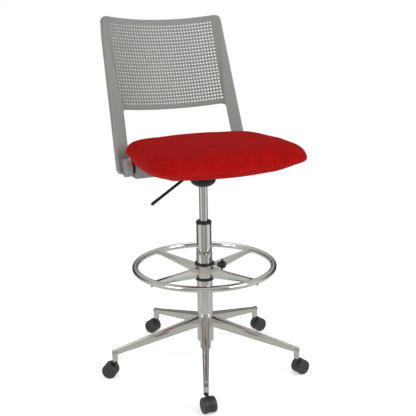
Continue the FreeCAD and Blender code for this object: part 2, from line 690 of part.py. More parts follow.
def beam():
    """The cast beam across the seat's rear, its tongue forward to the housing, a bush and pin at each end."""
    bar = block("beam_bar", "2 * beam_half", "beam_wide", "beam_deep", x="-beam_half",
                y="pivot_rear - beam_wide / 2", z="board_low - beam_deep")
    tongue = block("beam_tongue", "housing_wide - 20", "pivot_rear - housing_long / 2", "beam_deep - 12",
                   x="10 - housing_wide / 2", y="housing_long / 2", z="board_low - beam_deep + 8")
    pin_hole = rod("beam_pin_hole", "pin_width / 2 + fit_gap", "2 * beam_half + 20", x="-beam_half - 10",
                   y="pivot_rear", z="pivot_height", rotation=Rotation(BACKWARD, 90))
    holes = []
    for number, where in enumerate(BEAM_SCREWS):
        holes.append(rod(f"beam_hole_{number}", "bolt_width / 2 + fit_gap", "30", z="board_low - 20", **where))
        holes.append(rod(f"beam_recess_{number}", "bolt_width + 1", "beam_deep - 10.5",
                         z="board_low - beam_deep", **where))
    piece(less("rear_beam", joined("beam_solid", bar, tongue), pin_hole, *holes), "rear_beam")
    for side, sign in (("left", -1), ("right", 1)):
        outward = Rotation(BACKWARD, 90 * sign)
        along = {"y": "pivot_rear", "z": "pivot_height", "rotation": outward}
        bush = rod(f"bush_{side}", "bush_width / 2", "boss_outer - boss_thick - beam_half - free_gap",
                   x=f"{sign} * beam_half", **along)
        bush_hole = rod(f"bush_hole_{side}", "pin_width / 2 + fit_gap", "40", x=f"{sign} * (beam_half - 10)", **along)
        piece(less(f"pivot_bush_{side}", bush, bush_hole), f"pivot_bush_{side}")


beam()


def shell_part(name, thick, corners):
    """A slice of the back's curved wall: everything of it that lies behind one flat outline."""
    radius = "(shell_half ^ 2 + shell_sag ^ 2) / (2 * shell_sag)"
    outer = rod(f"{name}_outer", f"{radius} + {thick}", "shell_top + 60", y=f"shell_sag - {radius}", z="-40")
    inner = rod(f"{name}_inner", radius, "shell_top + 80", y=f"shell_sag - {radius}", z="-50")
    wall = less(f"{name}_wall", outer, inner)
    front = padded(f"{name}_outline", corners, "shell_sag + 90", role="XZ_Plane", lift="-shell_sag - 60")
    return wall, front


def slope_half(height):
    """Half of the back's width at a height up its slope."""
    return f"(shell_half - (shell_half - shell_half_top) * ({height}) / shell_top)"


def back():
    """The moulded back in one piece: a curved panel between two uprights that end in round bosses."""
    top, window = slope_half("shell_top"), slope_half("shell_window")
    wall, front = shell_part("panel", "shell_thick", [
        (f"-{top}", "shell_top"), (f"-{window} + 4", "shell_window"),
        (f"{window} - 4", "shell_window"), (top, "shell_top"),
    ])
    rounded(front, "26", lambda edge: edge.BoundBox.ZMin > value("shell_top") - 1 and edge.BoundBox.YLength > 50
            and edge.BoundBox.XLength < 0.01, "top_corners")
    parts = [common("panel_slice", wall, front)]
    foot = slope_half("-12")
    for side, sign in (("left", "-1"), ("right", "1")):
        wall, front = shell_part(f"upright_{side}", "upright_thick", [
            (f"{sign} * {foot}", "-12"), (f"{sign} * {slope_half('shell_top - 24')}", "shell_top - 24"),
            (f"{sign} * ({slope_half('shell_top - 24')} - 6)", "shell_top - 24"),
            (f"{sign} * ({window} - upright_face)", "shell_window"),
            (f"{sign} * ({foot} - upright_face)", "-12"),
        ])
        parts.append(common(f"upright_slice_{side}", wall, front))
    slope = joined("back_slope", *parts)
    place(slope, y="shell_rear", z="pivot_height", rotation=Rotation(ACROSS, -value("recline")))
    bosses, holes = [], []
    for side, sign in (("left", -1), ("right", 1)):
        along = {"y": "pivot_rear", "z": "pivot_height", "rotation": Rotation(BACKWARD, 90 * sign)}
        bosses.append(rod(f"boss_{side}", "boss_width / 2", "boss_thick",
                          x=f"{sign} * (boss_outer - boss_thick)", **along))
        holes.append(rod(f"boss_hole_{side}", "pin_width / 2", "boss_thick", x=f"{sign} * (boss_outer - boss_thick - 5)",
                         **along))
        holes.append(rod(f"cap_seat_{side}", "boss_width / 2 - 3", "10", x=f"{sign} * (boss_outer - 3)", **along))
        piece(rod(f"boss_cap_{side}", "boss_width / 2 - 3", "4", x=f"{sign} * (boss_outer - 3)", **along),
              f"boss_cap_{side}")
    piece(less("backrest_shell", joined("back_solid", slope, *bosses), *holes), "backrest_shell")
    pins = doc.addObject("Part::Compound", "pivot_pins")
    pins.Links = [
        rod(f"pin_{side}", "pin_width / 2", "boss_outer - 5 - beam_half + 45",
            x=f"{sign} * (beam_half - 45)", y="pivot_rear", z="pivot_height", rotation=Rotation(BACKWARD, 90 * sign))
        for side, sign in (("left", -1), ("right", 1))
    ]
    piece(pins, "pivot_pins")


def common(name, base, tool):
    overlap = doc.addObject("Part::Common", name)
    overlap.Base = base
    overlap.Tool = tool
    return overlap


back()


# ---------------------------------------------------------------- checks and files

def finish():
    doc.recompute()
    for thing in doc.Objects:
        if {"Invalid", "Error"} & set(thing.State):
            raise RuntimeError(f"{thing.Name} failed: {thing.State}")
    for thing in pieces:
        if thing.Shape.isNull() or not thing.Shape.isValid() or not thing.Shape.Solids:
            raise RuntimeError(f"{thing.Label} has no valid solid")
    os.makedirs("parts", exist_ok=True)
    for thing in pieces:
        thing.Shape.exportStep(f"parts/{thing.Label}.step")


finish()
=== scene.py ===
"""A drafting chair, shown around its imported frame. Metres; the floor is z = 0 and the sitter faces -Y."""
import math

import bmesh
import bpy
from mathutils import Matrix, Vector


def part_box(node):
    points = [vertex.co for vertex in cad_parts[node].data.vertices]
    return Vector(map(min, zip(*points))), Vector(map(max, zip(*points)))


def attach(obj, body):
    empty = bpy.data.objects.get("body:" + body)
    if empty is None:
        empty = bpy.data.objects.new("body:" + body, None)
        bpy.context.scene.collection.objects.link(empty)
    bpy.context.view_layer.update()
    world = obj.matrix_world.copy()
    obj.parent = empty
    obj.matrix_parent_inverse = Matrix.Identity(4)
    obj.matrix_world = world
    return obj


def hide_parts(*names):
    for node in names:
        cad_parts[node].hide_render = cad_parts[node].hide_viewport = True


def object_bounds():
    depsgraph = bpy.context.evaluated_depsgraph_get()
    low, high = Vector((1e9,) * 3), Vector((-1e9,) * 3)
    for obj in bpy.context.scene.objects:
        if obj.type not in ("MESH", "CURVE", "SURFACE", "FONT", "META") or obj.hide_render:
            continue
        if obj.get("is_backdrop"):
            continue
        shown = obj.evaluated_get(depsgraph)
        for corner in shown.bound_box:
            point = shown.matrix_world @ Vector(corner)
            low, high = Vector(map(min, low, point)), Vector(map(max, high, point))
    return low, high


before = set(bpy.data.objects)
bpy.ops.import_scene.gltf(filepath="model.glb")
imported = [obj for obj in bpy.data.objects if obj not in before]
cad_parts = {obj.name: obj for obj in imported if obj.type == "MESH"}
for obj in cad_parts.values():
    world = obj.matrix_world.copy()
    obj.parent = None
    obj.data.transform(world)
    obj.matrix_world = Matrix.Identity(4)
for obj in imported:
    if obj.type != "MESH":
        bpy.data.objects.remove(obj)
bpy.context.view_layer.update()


# ---------------------------------------------------------------- studio
# A white floor, a white room and three large soft lamps. Metal reflects a ring of light and dark screens
# round the room, which draws the streaks in chrome and polished metal.

def add(tree, kind, inputs=None, **settings):
    """Adds one node to a tree, with its settings, and sets or links each input."""
    made = tree.nodes.new(kind)
    for name, setting in settings.items():
        setattr(made, name, setting)
    for name, given in (inputs or {}).items():
        if isinstance(given, bpy.types.NodeSocket):
            tree.links.new(given, made.inputs[name])
        else:
            made.inputs[name].default_value = given
    return made


def linear(code):
    """An sRGB hex colour as linear RGBA."""
    parts = [int(code[at:at + 2], 16) / 255 for at in (1, 3, 5)]
    return [part / 12.92 if part <= 0.04045 else ((part + 0.055) / 1.055) ** 2.4 for part in parts] + [1.0]


def new_finish(name):
    """An empty material with its node tree."""
    finish = bpy.data.materials.new(name)
    finish.use_nodes = True
    finish.node_tree.nodes.clear()
    return finish, finish.node_tree


scene = bpy.context.scene
scene.view_settings.view_transform = "Standard"

eye = Vector((-0.953, -2.092, 1.147))
gaze = Vector((0.4072, 0.8788, -0.2487)).normalized()
level = gaze.cross(Vector((0, 0, 1))).normalized()
tilt = math.radians(-0.85)
across = level * math.cos(tilt) + level.cross(gaze) * math.sin(tilt)
camera_data = bpy.data.cameras.new("camera")
camera_data.sensor_width = 36
camera_data.lens = 62.04
camera_data.clip_start = 0.05
camera = bpy.data.objects.new("camera", camera_data)
turned = Matrix((across, across.cross(gaze), -gaze)).transposed()
camera.matrix_world = Matrix.Translation(eye) @ turned.to_4x4()
scene.collection.objects.link(camera)
scene.camera = camera

# What polished metal reflects, by the direction from the chair: bright cloth screens to each side of the
# camera, a dim room between and behind them.
SCREENS = (
    (0.0, "#8E8E8C"), (0.05, "#5A5A58"), (0.12, "#333332"), (0.20, "#7A7A78"), (0.27, "#E8E8E4"),
    (0.34, "#F4F4F0"), (0.41, "#9C9C98"), (0.50, "#C8C8C4"), (0.59, "#8E8E8A"), (0.66, "#EDEDE9"),
    (0.73, "#FFFFFF"), (0.80, "#8A8A87"), (0.88, "#2E2E2D"), (0.95, "#5A5A58"), (1.0, "#8E8E8C"))
CAMERA_SIDE = math.radians(-114.5)


def screens_round(tree, place):
    """The screens' brightness in a direction; half-way along the ramp is the camera's side."""
    spin = add(tree, "ShaderNodeVectorRotate", {
        "Vector": place, "Angle": -CAMERA_SIDE}, rotation_type="Z_AXIS")
    parts = add(tree, "ShaderNodeSeparateXYZ", {"Vector": spin.outputs["Vector"]})
    angle = add(tree, "ShaderNodeMath", {0: parts.outputs["Y"], 1: parts.outputs["X"]}, operation="ARCTAN2")
    share = add(tree, "ShaderNodeMapRange", {
        "Value": angle.outputs["Value"], "From Min": -math.pi, "From Max": math.pi})
    ramp = add(tree, "ShaderNodeValToRGB", {"Fac": share.outputs["Result"]})
    for at, shade in SCREENS[1:-1]:
        ramp.color_ramp.elements.new(at).color = linear(shade)
    for end in (0, -1):
        ramp.color_ramp.elements[end].color = linear(SCREENS[end][1])
    return ramp.outputs["Color"]


room = bpy.data.worlds.new("room")
room.use_nodes = True
sky = room.node_tree
sky.nodes.clear()
direction = add(sky, "ShaderNodeTexCoord").outputs["Generated"]
height = add(sky, "ShaderNodeSeparateXYZ", {"Vector": direction}).outputs["Z"]
overhead = add(sky, "ShaderNodeMapRange", {
    "Value": height, "From Min": 0.10, "From Max": 0.55}, interpolation_type="SMOOTHSTEP")
walls = add(sky, "ShaderNodeMix", {
    "Factor": overhead.outputs["Result"], 6: screens_round(sky, direction),
    7: linear("#E9E9E6")}, data_type="RGBA")
seen = add(sky, "ShaderNodeBackground", {"Color": linear("#FFFFFF"), "Strength": 1.0})
lit = add(sky, "ShaderNodeBackground", {"Color": walls.outputs[2], "Strength": 0.62})
path = add(sky, "ShaderNodeLightPath")
add(sky, "ShaderNodeOutputWorld", {"Surface": add(sky, "ShaderNodeMixShader", {
    0: path.outputs["Is Camera Ray"], 1: lit.outputs["Background"],
    2: seen.outputs["Background"]}).outputs["Shader"]})
scene.world = room


def soft_lamp(name, where, size, power):
    """A large square lamp that faces the chair's middle."""
    light = bpy.data.lights.new(name, "AREA")
    light.size = size
    light.energy = power
    lamp = bpy.data.objects.new(name, light)
    lamp.location = where
    lamp.rotation_euler = (Vector((0, 0, 0.55)) - Vector(where)).to_track_quat("-Z", "Y").to_euler()
    scene.collection.objects.link(lamp)


soft_lamp("key_lamp", (1.7, -2.9, 2.3), 1.6, 50)
soft_lamp("fill_lamp", (-2.9, -0.9, 1.7), 1.4, 20)
soft_lamp("top_lamp", (0.2, 0.6, 3.2), 2.2, 22)

# White floor paint: matt and even, so that it shows only the soft shadows under the castors, and it fades
# into the white room. Metal sees it dim away from the chair, as the floor of a large room is.
floor_paint, paint = new_finish("white floor paint")
spot = add(paint, "ShaderNodeTexCoord").outputs["Object"]
reach = add(paint, "ShaderNodeVectorMath", {0: spot}, operation="LENGTH").outputs["Value"]
coat = add(paint, "ShaderNodeBsdfPrincipled", {
    "Base Color": linear("#FBFBFA"), "Roughness": 0.75, "Emission Color": linear("#FFFFFF"),
    "Emission Strength": 0.45})
white = add(paint, "ShaderNodeEmission", {"Color": linear("#FFFFFF"), "Strength": 1.0})
fade = add(paint, "ShaderNodeMapRange", {
    "Value": reach, "From Min": 0.45, "From Max": 0.85}, interpolation_type="SMOOTHSTEP")
path = add(paint, "ShaderNodeLightPath")
fading = add(paint, "ShaderNodeMath", {
    0: fade.outputs["Result"], 1: path.outputs["Is Camera Ray"]}, operation="MULTIPLY")
ground = add(paint, "ShaderNodeMixShader", {
    0: fading.outputs["Value"], 1: coat.outputs["BSDF"], 2: white.outputs["Emission"]})
away = add(paint, "ShaderNodeMapRange", {
    "Value": reach, "From Min": 0.50, "From Max": 1.60}, interpolation_type="SMOOTHSTEP")
far = add(paint, "ShaderNodeMix", {
    "Factor": away.outputs["Result"], 6: linear("#D6D6D2"), 7: screens_round(paint, spot)}, data_type="RGBA")
glow = add(paint, "ShaderNodeEmission", {"Color": far.outputs[2], "Strength": 0.80})
add(paint, "ShaderNodeOutputMaterial", {"Surface": add(paint, "ShaderNodeMixShader", {
    0: path.outputs["Is Glossy Ray"], 1: ground.outputs["Shader"],
    2: glow.outputs["Emission"]}).outputs["Shader"]})
floor_mesh = bpy.data.meshes.new("floor")
floor_mesh.from_pydata([(-40, -40, 0), (40, -40, 0), (40, 40, 0), (-40, 40, 0)], [], [(0, 1, 2, 3)])
floor_mesh.materials.append(floor_paint)
floor = bpy.data.objects.new("floor", floor_mesh)
scene.collection.objects.link(floor)
floor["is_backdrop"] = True


# ---------------------------------------------------------------- star base
# One casting in aluminium: a hub and five arms that fall towards their ends. It is ground and polished
# to a mirror, and each arm has a narrow flat crown with a sloped shoulder on each side.

def eased(corners, reach, closed=True):
    """A line of corners with each corner replaced by a short curve of the given reach."""
    corners = [Vector(corner) for corner in corners]
    line = []
    for number, corner in enumerate(corners):
        if not closed and number in (0, len(corners) - 1):
            line.append(corner)
            continue
        before = corners[number - 1] - corner
        after = corners[(number + 1) % len(corners)] - corner
        start = corner + before.normalized() * min(reach, before.length * 0.45)
        end = corner + after.normalized() * min(reach, after.length * 0.45)
        line += [start, start * 0.5625 + corner * 0.375 + end * 0.0625, (start + end) * 0.25 + corner * 0.5,
                 start * 0.0625 + corner * 0.375 + end * 0.5625, end]
    return line


def turning(corners, ease=0.0008, steps=96):
    """A closed shape turned about Z from (radius, height) corners."""
    hollow = min(radius for radius, height in corners) > 1e-6
    line = eased(corners, ease, closed=hollow)
    shape = bmesh.new()
    rings = []
    for radius, height in line:
        count = steps if radius > 1e-6 else 1
        rings.append([shape.verts.new((radius * math.cos(turn), radius * math.sin(turn), height))
                      for turn in (2 * math.pi * step / steps for step in range(count))])
    if hollow:
        rings.append(rings[0])
    for one, other in zip(rings, rings[1:]):
        for step in range(steps):
            following = (step + 1) % steps
            around = [one[step % len(one)], one[following % len(one)],
                      other[following % len(other)], other[step % len(other)]]
            face = list(dict.fromkeys(around))
            if len(face) > 2:
                shape.faces.new(face)
    return shape


def loft(sections):
    """A closed shape through matching closed outlines, with flat ends."""
    shape = bmesh.new()
    rings = [[shape.verts.new(point) for point in section] for section in sections]
    for one, other in zip(rings, rings[1:]):
        for step in range(len(one)):
            following = (step + 1) % len(one)
            shape.faces.new((one[step], one[following], other[following], other[step]))
    shape.faces.new(reversed(rings[0]))
    shape.faces.new(rings[-1])
    return shape


def moved(shape, matrix):
    """The same shape, put in its place."""
    bmesh.ops.transform(shape, matrix=matrix, verts=shape.verts)
    return shape


def piece(name, shapes, finish, sharp=35):
    """One object from closed shapes, smooth but for edges sharper than an angle in degrees."""
    whole = bmesh.new()
    for shape in shapes:
        part = bpy.data.meshes.new("part")
        bmesh.ops.recalc_face_normals(shape, faces=shape.faces)
        shape.to_mesh(part)
        shape.free()
        whole.from_mesh(part)
        bpy.data.meshes.remove(part)
    mesh = bpy.data.meshes.new(name)
    whole.to_mesh(mesh)
    whole.free()
    mesh.polygons.foreach_set("use_smooth", [True] * len(mesh.polygons))
    mesh.set_sharp_from_angle(angle=math.radians(sharp))
    mesh.materials.append(finish)
    made = bpy.data.objects.new(name, mesh)
    scene.collection.objects.link(made)
    return made


def fitted(made, body, slot, *nodes):
    """Puts a piece on its body, in place of its CAD nodes; the slot is not used."""
    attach(made, body)
    if nodes:
        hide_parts(*nodes)


def noise(tree, spot, size, detail):
    """A noise with lumps of about a size."""
    return add(tree, "ShaderNodeTexNoise", {"Vector": spot, "Scale": 1 / size, "Detail": detail})


def span(tree, pattern, low, high):
    """A pattern's values, moved to lie between two numbers."""
    return add(tree, "ShaderNodeMapRange", {"Value": pattern.outputs["Fac"], "To Min": low, "To Max": high})


def relief_of(tree, pattern, strength, height):
    """Fine relief from a pattern."""
    return add(tree, "ShaderNodeBump", {
        "Height": pattern.outputs["Fac"], "Strength": strength, "Distance": height})


def tones(tree, pattern, dark, light):
    """A pattern between two colours."""
    return add(tree, "ShaderNodeMix", {
        "Factor": pattern.outputs["Fac"], 6: linear(dark), 7: linear(light)}, data_type="RGBA")


def surfaced(tree, shader):
    """Makes a shader the finish's surface."""
    add(tree, "ShaderNodeOutputMaterial", {"Surface": shader.outputs["BSDF"]})


# Polished cast aluminium: a bright mirror with a faint waviness, and fine polishing lines that
# soften the reflections a little.
cast_aluminium, cast = new_finish("polished cast aluminium")
spot = add(cast, "ShaderNodeTexCoord").outputs["Object"]
wave = noise(cast, spot, 0.030, 1.0)
lines = noise(cast, spot, 0.003, 2.0)
rough = span(cast, lines, 0.10, 0.20)
bump = relief_of(cast, wave, 0.12, 0.002)
metal = add(cast, "ShaderNodeBsdfPrincipled", {
    "Base Color": linear("#DEDCD6"), "Metallic": 1.0, "Roughness": rough.outputs["Result"],
    "Normal": bump.outputs["Normal"]})
surfaced(cast, metal)

ARM_TURNS = [math.radians(-114.7 + 72 * number) for number in range(5)]
arm_reach = 0.319
foot_low = 0.060


def arm_section(along, width, top, depth, shoulder):
    """An arm's outline across its length."""
    half = width / 2
    corners = [(-half * 0.86, top - depth), (half * 0.86, top - depth), (half, top - depth * 0.55),
               (half, top - shoulder), (half * 0.42, top), (-half * 0.42, top), (-half, top - shoulder),
               (-half, top - depth * 0.55)]
    return [Vector((along, point.x, point.y)) for point in eased(corners, 0.0012)]


arms = [turning([(0, 0.055), (0.017, 0.055), (0.019, 0.057), (0.019, 0.085), (0.025, 0.085), (0.028, 0.088),
                 (0.029, 0.182), (0.0275, 0.184), (0, 0.184)], 0.0015)]
for turn in ARM_TURNS:
    root = arm_section(0.020, 0.0275, 0.1814, 0.0385, 0.007)
    knee = arm_section(arm_reach - 0.0095, 0.017, 0.1015, 0.0185, 0.004)
    end = arm_section(arm_reach + 0.0085, 0.017, 0.0990, 0.0200, 0.004)
    square = [(-0.0085, -0.0085), (0.0085, -0.0085), (0.0085, 0.0085), (-0.0085, 0.0085)]
    foot = [[Vector((arm_reach + point.x, point.y, height)) for point in eased(square, reach)]
            for height, reach in ((foot_low, 0.0030), (foot_low + 0.001, 0.0022), (0.094, 0.0012))]
    turn_it = Matrix.Rotation(turn, 4, "Z")
    arms += [moved(loft([root, knee, end]), turn_it), moved(loft(foot), turn_it)]
base = piece("cast_base", arms, cast_aluminium)
fitted(base, "base", "polished_aluminium", "star_base")


# ---------------------------------------------------------------- column
# A drawn steel stand tube in an outer sleeve, both chromed, and the gas lift's pressure tube that slides
# in a black nylon bush. The bush's collar sits on the stand tube's mouth.

# Bright chrome on drawn tube: an almost clean mirror, with faint polishing marks round the tube.
chrome, plating = new_finish("bright chrome plate")
spot = add(plating, "ShaderNodeTexCoord").outputs["Object"]
marks = add(plating, "ShaderNodeTexNoise", {
    "Vector": add(plating, "ShaderNodeMapping", {"Vector": spot, "Scale": (1, 1, 6)}).outputs["Vector"],
    "Scale": 1 / 0.004, "Detail": 2.0})
rough = span(plating, marks, 0.05, 0.12)
metal = add(plating, "ShaderNodeBsdfPrincipled", {
    "Base Color": linear("#E6E5E0"), "Metallic": 1.0, "Roughness": rough.outputs["Result"]})
surfaced(plating, metal)

# Moulded black nylon: nearly black and half matt, with the fine spark texture of its mould.
black_nylon, nylon = new_finish("moulded black nylon")
spot = add(nylon, "ShaderNodeTexCoord").outputs["Object"]
spark = noise(nylon, spot, 0.0008, 2.0)
bump = relief_of(nylon, spark, 0.25, 0.0003)
rough = span(nylon, spark, 0.36, 0.52)
resin = add(nylon, "ShaderNodeBsdfPrincipled", {
    "Base Color": linear("#1B1B1A"), "Roughness": rough.outputs["Result"], "IOR": 1.53,
    "Normal": bump.outputs["Normal"]})
surfaced(nylon, resin)

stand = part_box("stand_tube")[1]
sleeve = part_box("column_sleeve")[1]
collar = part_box("guide_bush")[1]
lift_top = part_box("pressure_tube")[1]
stand_tube = piece("chromed_stand_tube", [turning([
    (stand.x - 0.002, 0.096), (stand.x, 0.096), (stand.x, stand.z), (stand.x - 0.002, stand.z)])], chrome)
outer_sleeve = piece("chromed_sleeve", [turning([
    (stand.x + 0.0001, 0.184), (0.0285, 0.184), (0.0285, 0.187), (sleeve.x, 0.1885), (sleeve.x, sleeve.z),
    (stand.x + 0.0001, sleeve.z)], 0.0010)], chrome)
bush_collar = piece("bush_collar", [turning([
    (0.0141, stand.z - 0.1), (0.0228, stand.z - 0.1), (0.0228, stand.z + 0.0001),
    (collar.x, stand.z + 0.0001), (collar.x, collar.z - 0.0030), (collar.x - 0.0035, collar.z),
    (0.0141, collar.z)], 0.0012)], black_nylon)
lift_tube = piece("lift_tube", [turning([
    (0.0115, 0.358), (lift_top.x, 0.358), (lift_top.x, lift_top.z), (0.006, lift_top.z),
    (0.006, lift_top.z - 0.005), (0.0115, lift_top.z - 0.005)])], chrome)
fitted(stand_tube, "base", "chrome", "stand_tube")
fitted(outer_sleeve, "base", "chrome", "column_sleeve")
fitted(bush_collar, "base", "black_plastic", "guide_bush")
fitted(lift_tube, "seat", "chrome", "pressure_tube")


# ---------------------------------------------------------------- footring
# A hoop of bent and welded steel tube on four tapered blades, welded to a hub that turns on the column.
# All of it is chromed. A black bush carries the hub from below and a clamping collar holds it down.

hub_low, hub_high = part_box("ring_hub")
hoop_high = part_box("foot_hoop")[1]
hoop_tube = 0.010
hoop_mid = hoop_high.z - hoop_tube
hoop_reach = hoop_high.x - hoop_tube

hoop_shape = bmesh.new()
rings = []
for step in range(160):
    turn = 2 * math.pi * step / 160
    out = Vector((math.cos(turn), math.sin(turn), 0))
    rings.append([hoop_shape.verts.new(out * (hoop_reach + hoop_tube * math.cos(around)) +
                                       Vector((0, 0, hoop_mid + hoop_tube * math.sin(around))))
                  for around in (2 * math.pi * side / 28 for side in range(28))])
for step in range(160):
    one, other = rings[step], rings[(step + 1) % 160]
    for side in range(28):
        hoop_shape.faces.new((one[side], other[side], other[(side + 1) % 28], one[(side + 1) % 28]))
hoop = piece("foot_hoop_tube", [hoop_shape], chrome)


def blade_section(along, width, top, depth):
    """A blade's outline across its length, with a narrow ridge on top."""
    half = width / 2
    corners = [(-half * 0.8, top - depth), (half * 0.8, top - depth), (half, top - depth * 0.6),
               (half, top - 0.004), (half * 0.3, top), (-half * 0.3, top), (-half, top - 0.004),
               (-half, top - depth * 0.6)]
    return [Vector((along, point.x, point.y)) for point in eased(corners, 0.0010)]


blades = []
for number in range(4):
    turn_it = Matrix.Rotation(math.radians(20.5 + 90 * number), 4, "Z")
    blade = loft([blade_section(hub_high.x - 0.002, 0.012, hub_high.z - 0.003, 0.038),
                  blade_section(0.150, 0.012, hoop_mid + 0.0018, 0.0225),
                  blade_section(hoop_reach - 0.004, 0.0115, hoop_mid + 0.0045, 0.0150)])
    tab = loft([blade_section(0.205, 0.0095, hoop_mid - 0.006, 0.0060),
                blade_section(hoop_reach, 0.0095, hoop_mid - 0.0085, 0.0055),
                blade_section(hoop_reach + 0.007, 0.0085, hoop_mid - 0.0093, 0.0040)])
    blades += [moved(blade, turn_it), moved(tab, turn_it)]
spokes = piece("welded_blades", blades, chrome)
hub = piece("hoop_hub", [turning([
    (0.0285, hub_low.z), (hub_high.x - 0.0008, hub_low.z), (hub_high.x, hub_low.z + 0.001),
    (hub_high.x, hub_high.z - 0.001), (hub_high.x - 0.0008, hub_high.z), (0.0285, hub_high.z)])], chrome)
for made, node in ((hoop, "foot_hoop"), (spokes, "ring_spokes"), (hub, "ring_hub")):
    fitted(made, "footring", "chrome", node)

bush_low, bush_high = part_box("ring_bush")
lower_flange = piece("lower_flange", [turning([
    (0.0267, bush_low.z), (bush_high.x - 0.002, bush_low.z), (bush_high.x, bush_low.z + 0.002),
    (bush_high.x, hub_low.z - 0.0012), (bush_high.x - 0.0006, hub_low.z - 0.0003),
    (0.0282, hub_low.z - 0.0003), (0.0282, hub_low.z + 0.013),
    (0.0267, hub_low.z + 0.013)], 0.0010)], black_nylon)
fitted(lower_flange, "ring_slider", "black_plastic", "ring_bush")

# The collar and its threaded boss for the clamp screw, which points at the knob.
knob_turn = math.radians(-44.5)
knob_height = hub_high.z + 0.0052
knob_way = Matrix.Translation((0, 0, knob_height)) @ Matrix.Rotation(knob_turn, 4, "Z")
knob_way = knob_way @ Matrix.Rotation(math.pi / 2, 4, "Y")
clamp_collar = piece("clamp_collar", [
    turning([(0.0267, hub_high.z - 0.014), (0.0282, hub_high.z - 0.014), (0.0282, hub_high.z + 0.0003),
             (0.0325, hub_high.z + 0.0003), (0.033, hub_high.z + 0.001), (0.033, hub_high.z + 0.0082),
             (0.031, hub_high.z + 0.010), (0.0267, hub_high.z + 0.010)], 0.0010),
    moved(turning([(0.0042, 0.031), (0.0048, 0.031), (0.0048, 0.0375), (0.0042, 0.0378)], 0.0003, 40),
          knob_way)], black_nylon)
fitted(clamp_collar, "footring", "black_plastic", "ring_collar")

# The clamp knob: a black nylon cone with ribs to grip, moulded on the head of a steel screw.
knob_body = piece("clamp_knob_body", [turning([
    (0.0041, 0.0475), (0.0078, 0.0475), (0.0084, 0.0510), (0.0108, 0.0560), (0.0116, 0.0690),
    (0.0112, 0.0722), (0.0098, 0.0744), (0.0, 0.0750)], 0.0010, 64)], black_nylon)


def new_tree(name, *sockets):
    """A Geometry Nodes tree and its inputs, from (name, kind, starting value)."""
    tree = bpy.data.node_groups.new(name, "GeometryNodeTree")
    tree.interface.new_socket("Geometry", in_out="INPUT", socket_type="NodeSocketGeometry")
    for title, kind, start in sockets:
        socket = tree.interface.new_socket(title, in_out="INPUT", socket_type="NodeSocket" + kind)
        socket.default_value = start
    tree.interface.new_socket("Geometry", in_out="OUTPUT", socket_type="NodeSocketGeometry")
    return tree, add(tree, "NodeGroupInput").outputs


def tree_end(tree, geometry, finish):
    """Ends a Geometry Nodes tree with its geometry in one finish."""
    coated = add(tree, "GeometryNodeSetMaterial", {"Geometry": geometry, "Material": finish})
    add(tree, "NodeGroupOutput", {"Geometry": coated.outputs["Geometry"]})


ribs, given = new_tree(
    "ribs round a knob", ("Count", "Int", 14), ("Circle radius", "Float", 0.0108),
    ("Rib radius", "Float", 0.0018), ("Rib length", "Float", 0.016), ("Lean", "Float", -0.05),
    ("Middle", "Float", 0.0640), ("Finish", "Material", black_nylon))
places = add(ribs, "GeometryNodeMeshCircle", {"Vertices": given["Count"], "Radius": given["Circle radius"]})
position = add(ribs, "GeometryNodeInputPosition").outputs["Position"]
outward = add(ribs, "FunctionNodeAlignRotationToVector", {"Vector": position}, axis="X")
lean = add(ribs, "FunctionNodeRotateRotation", {
    "Rotation": outward.outputs["Rotation"],
    "Rotate By": add(ribs, "ShaderNodeCombineXYZ", {"Y": given["Lean"]}).outputs["Vector"]},
    rotation_space="LOCAL")
rib = add(ribs, "GeometryNodeMeshCylinder", {
    "Vertices": 10, "Side Segments": 1, "Radius": given["Rib radius"], "Depth": given["Rib length"]})
lifted = add(ribs, "GeometryNodeSetPosition", {
    "Geometry": places.outputs["Mesh"],
    "Offset": add(ribs, "ShaderNodeCombineXYZ", {"Z": given["Middle"]}).outputs["Vector"]})
spread = add(ribs, "GeometryNodeInstanceOnPoints", {
    "Points": lifted.outputs["Geometry"], "Instance": rib.outputs["Mesh"],
    "Rotation": lean.outputs["Rotation"]})
plain = add(ribs, "GeometryNodeRealizeInstances", {"Geometry": spread.outputs["Instances"]})
both = add(ribs, "GeometryNodeJoinGeometry")
ribs.links.new(given["Geometry"], both.inputs["Geometry"])
ribs.links.new(plain.outputs["Geometry"], both.inputs["Geometry"])
tree_end(ribs, both.outputs["Geometry"], given["Finish"])


def made_plain(made, tree, **choices):
    """Runs a Geometry Nodes tree on an object and keeps the result as its plain mesh."""
    modifier = made.modifiers.new("tree", "NODES")
    modifier.node_group = tree
    for item in tree.interface.items_tree:
        if item.in_out == "INPUT" and item.name in choices:
            modifier[item.identifier] = choices[item.name]
    bpy.context.view_layer.update()
    result = bpy.data.meshes.new_from_object(made.evaluated_get(bpy.context.evaluated_depsgraph_get()))
    made.modifiers.remove(modifier)
    made.data = result
    result.polygons.foreach_set("use_smooth", [True] * len(result.polygons))
    result.set_sharp_from_angle(angle=math.radians(35))
    return made


made_plain(knob_body, ribs)
knob_body.data.transform(knob_way)
fitted(knob_body, "clamp", "black_plastic", "clamp_knob")


# ---------------------------------------------------------------- castors
# Twin-wheel castors in dark grey nylon: a hood in one moulding, with a web between the wheels and a neck
# round the steel stem, and two solid wheels with a rounded tread, a stepped face and a small axle cap.

# Moulded dark grey nylon: half matt, slightly warm, and lighter where the tread has picked up dust.
castor_nylon, nylon = new_finish("moulded grey nylon")
spot = add(nylon, "ShaderNodeTexCoord").outputs["Object"]
spark = noise(nylon, spot, 0.0010, 2.0)
dust = noise(nylon, spot, 0.012, 3.0)
tint = tones(nylon, dust, "#2B2C28", "#393A36")
bump = relief_of(nylon, spark, 0.25, 0.0003)
resin = add(nylon, "ShaderNodeBsdfPrincipled", {
    "Base Color": tint.outputs[2], "Roughness": 0.42, "IOR": 1.53, "Normal": bump.outputs["Normal"]})
surfaced(nylon, resin)

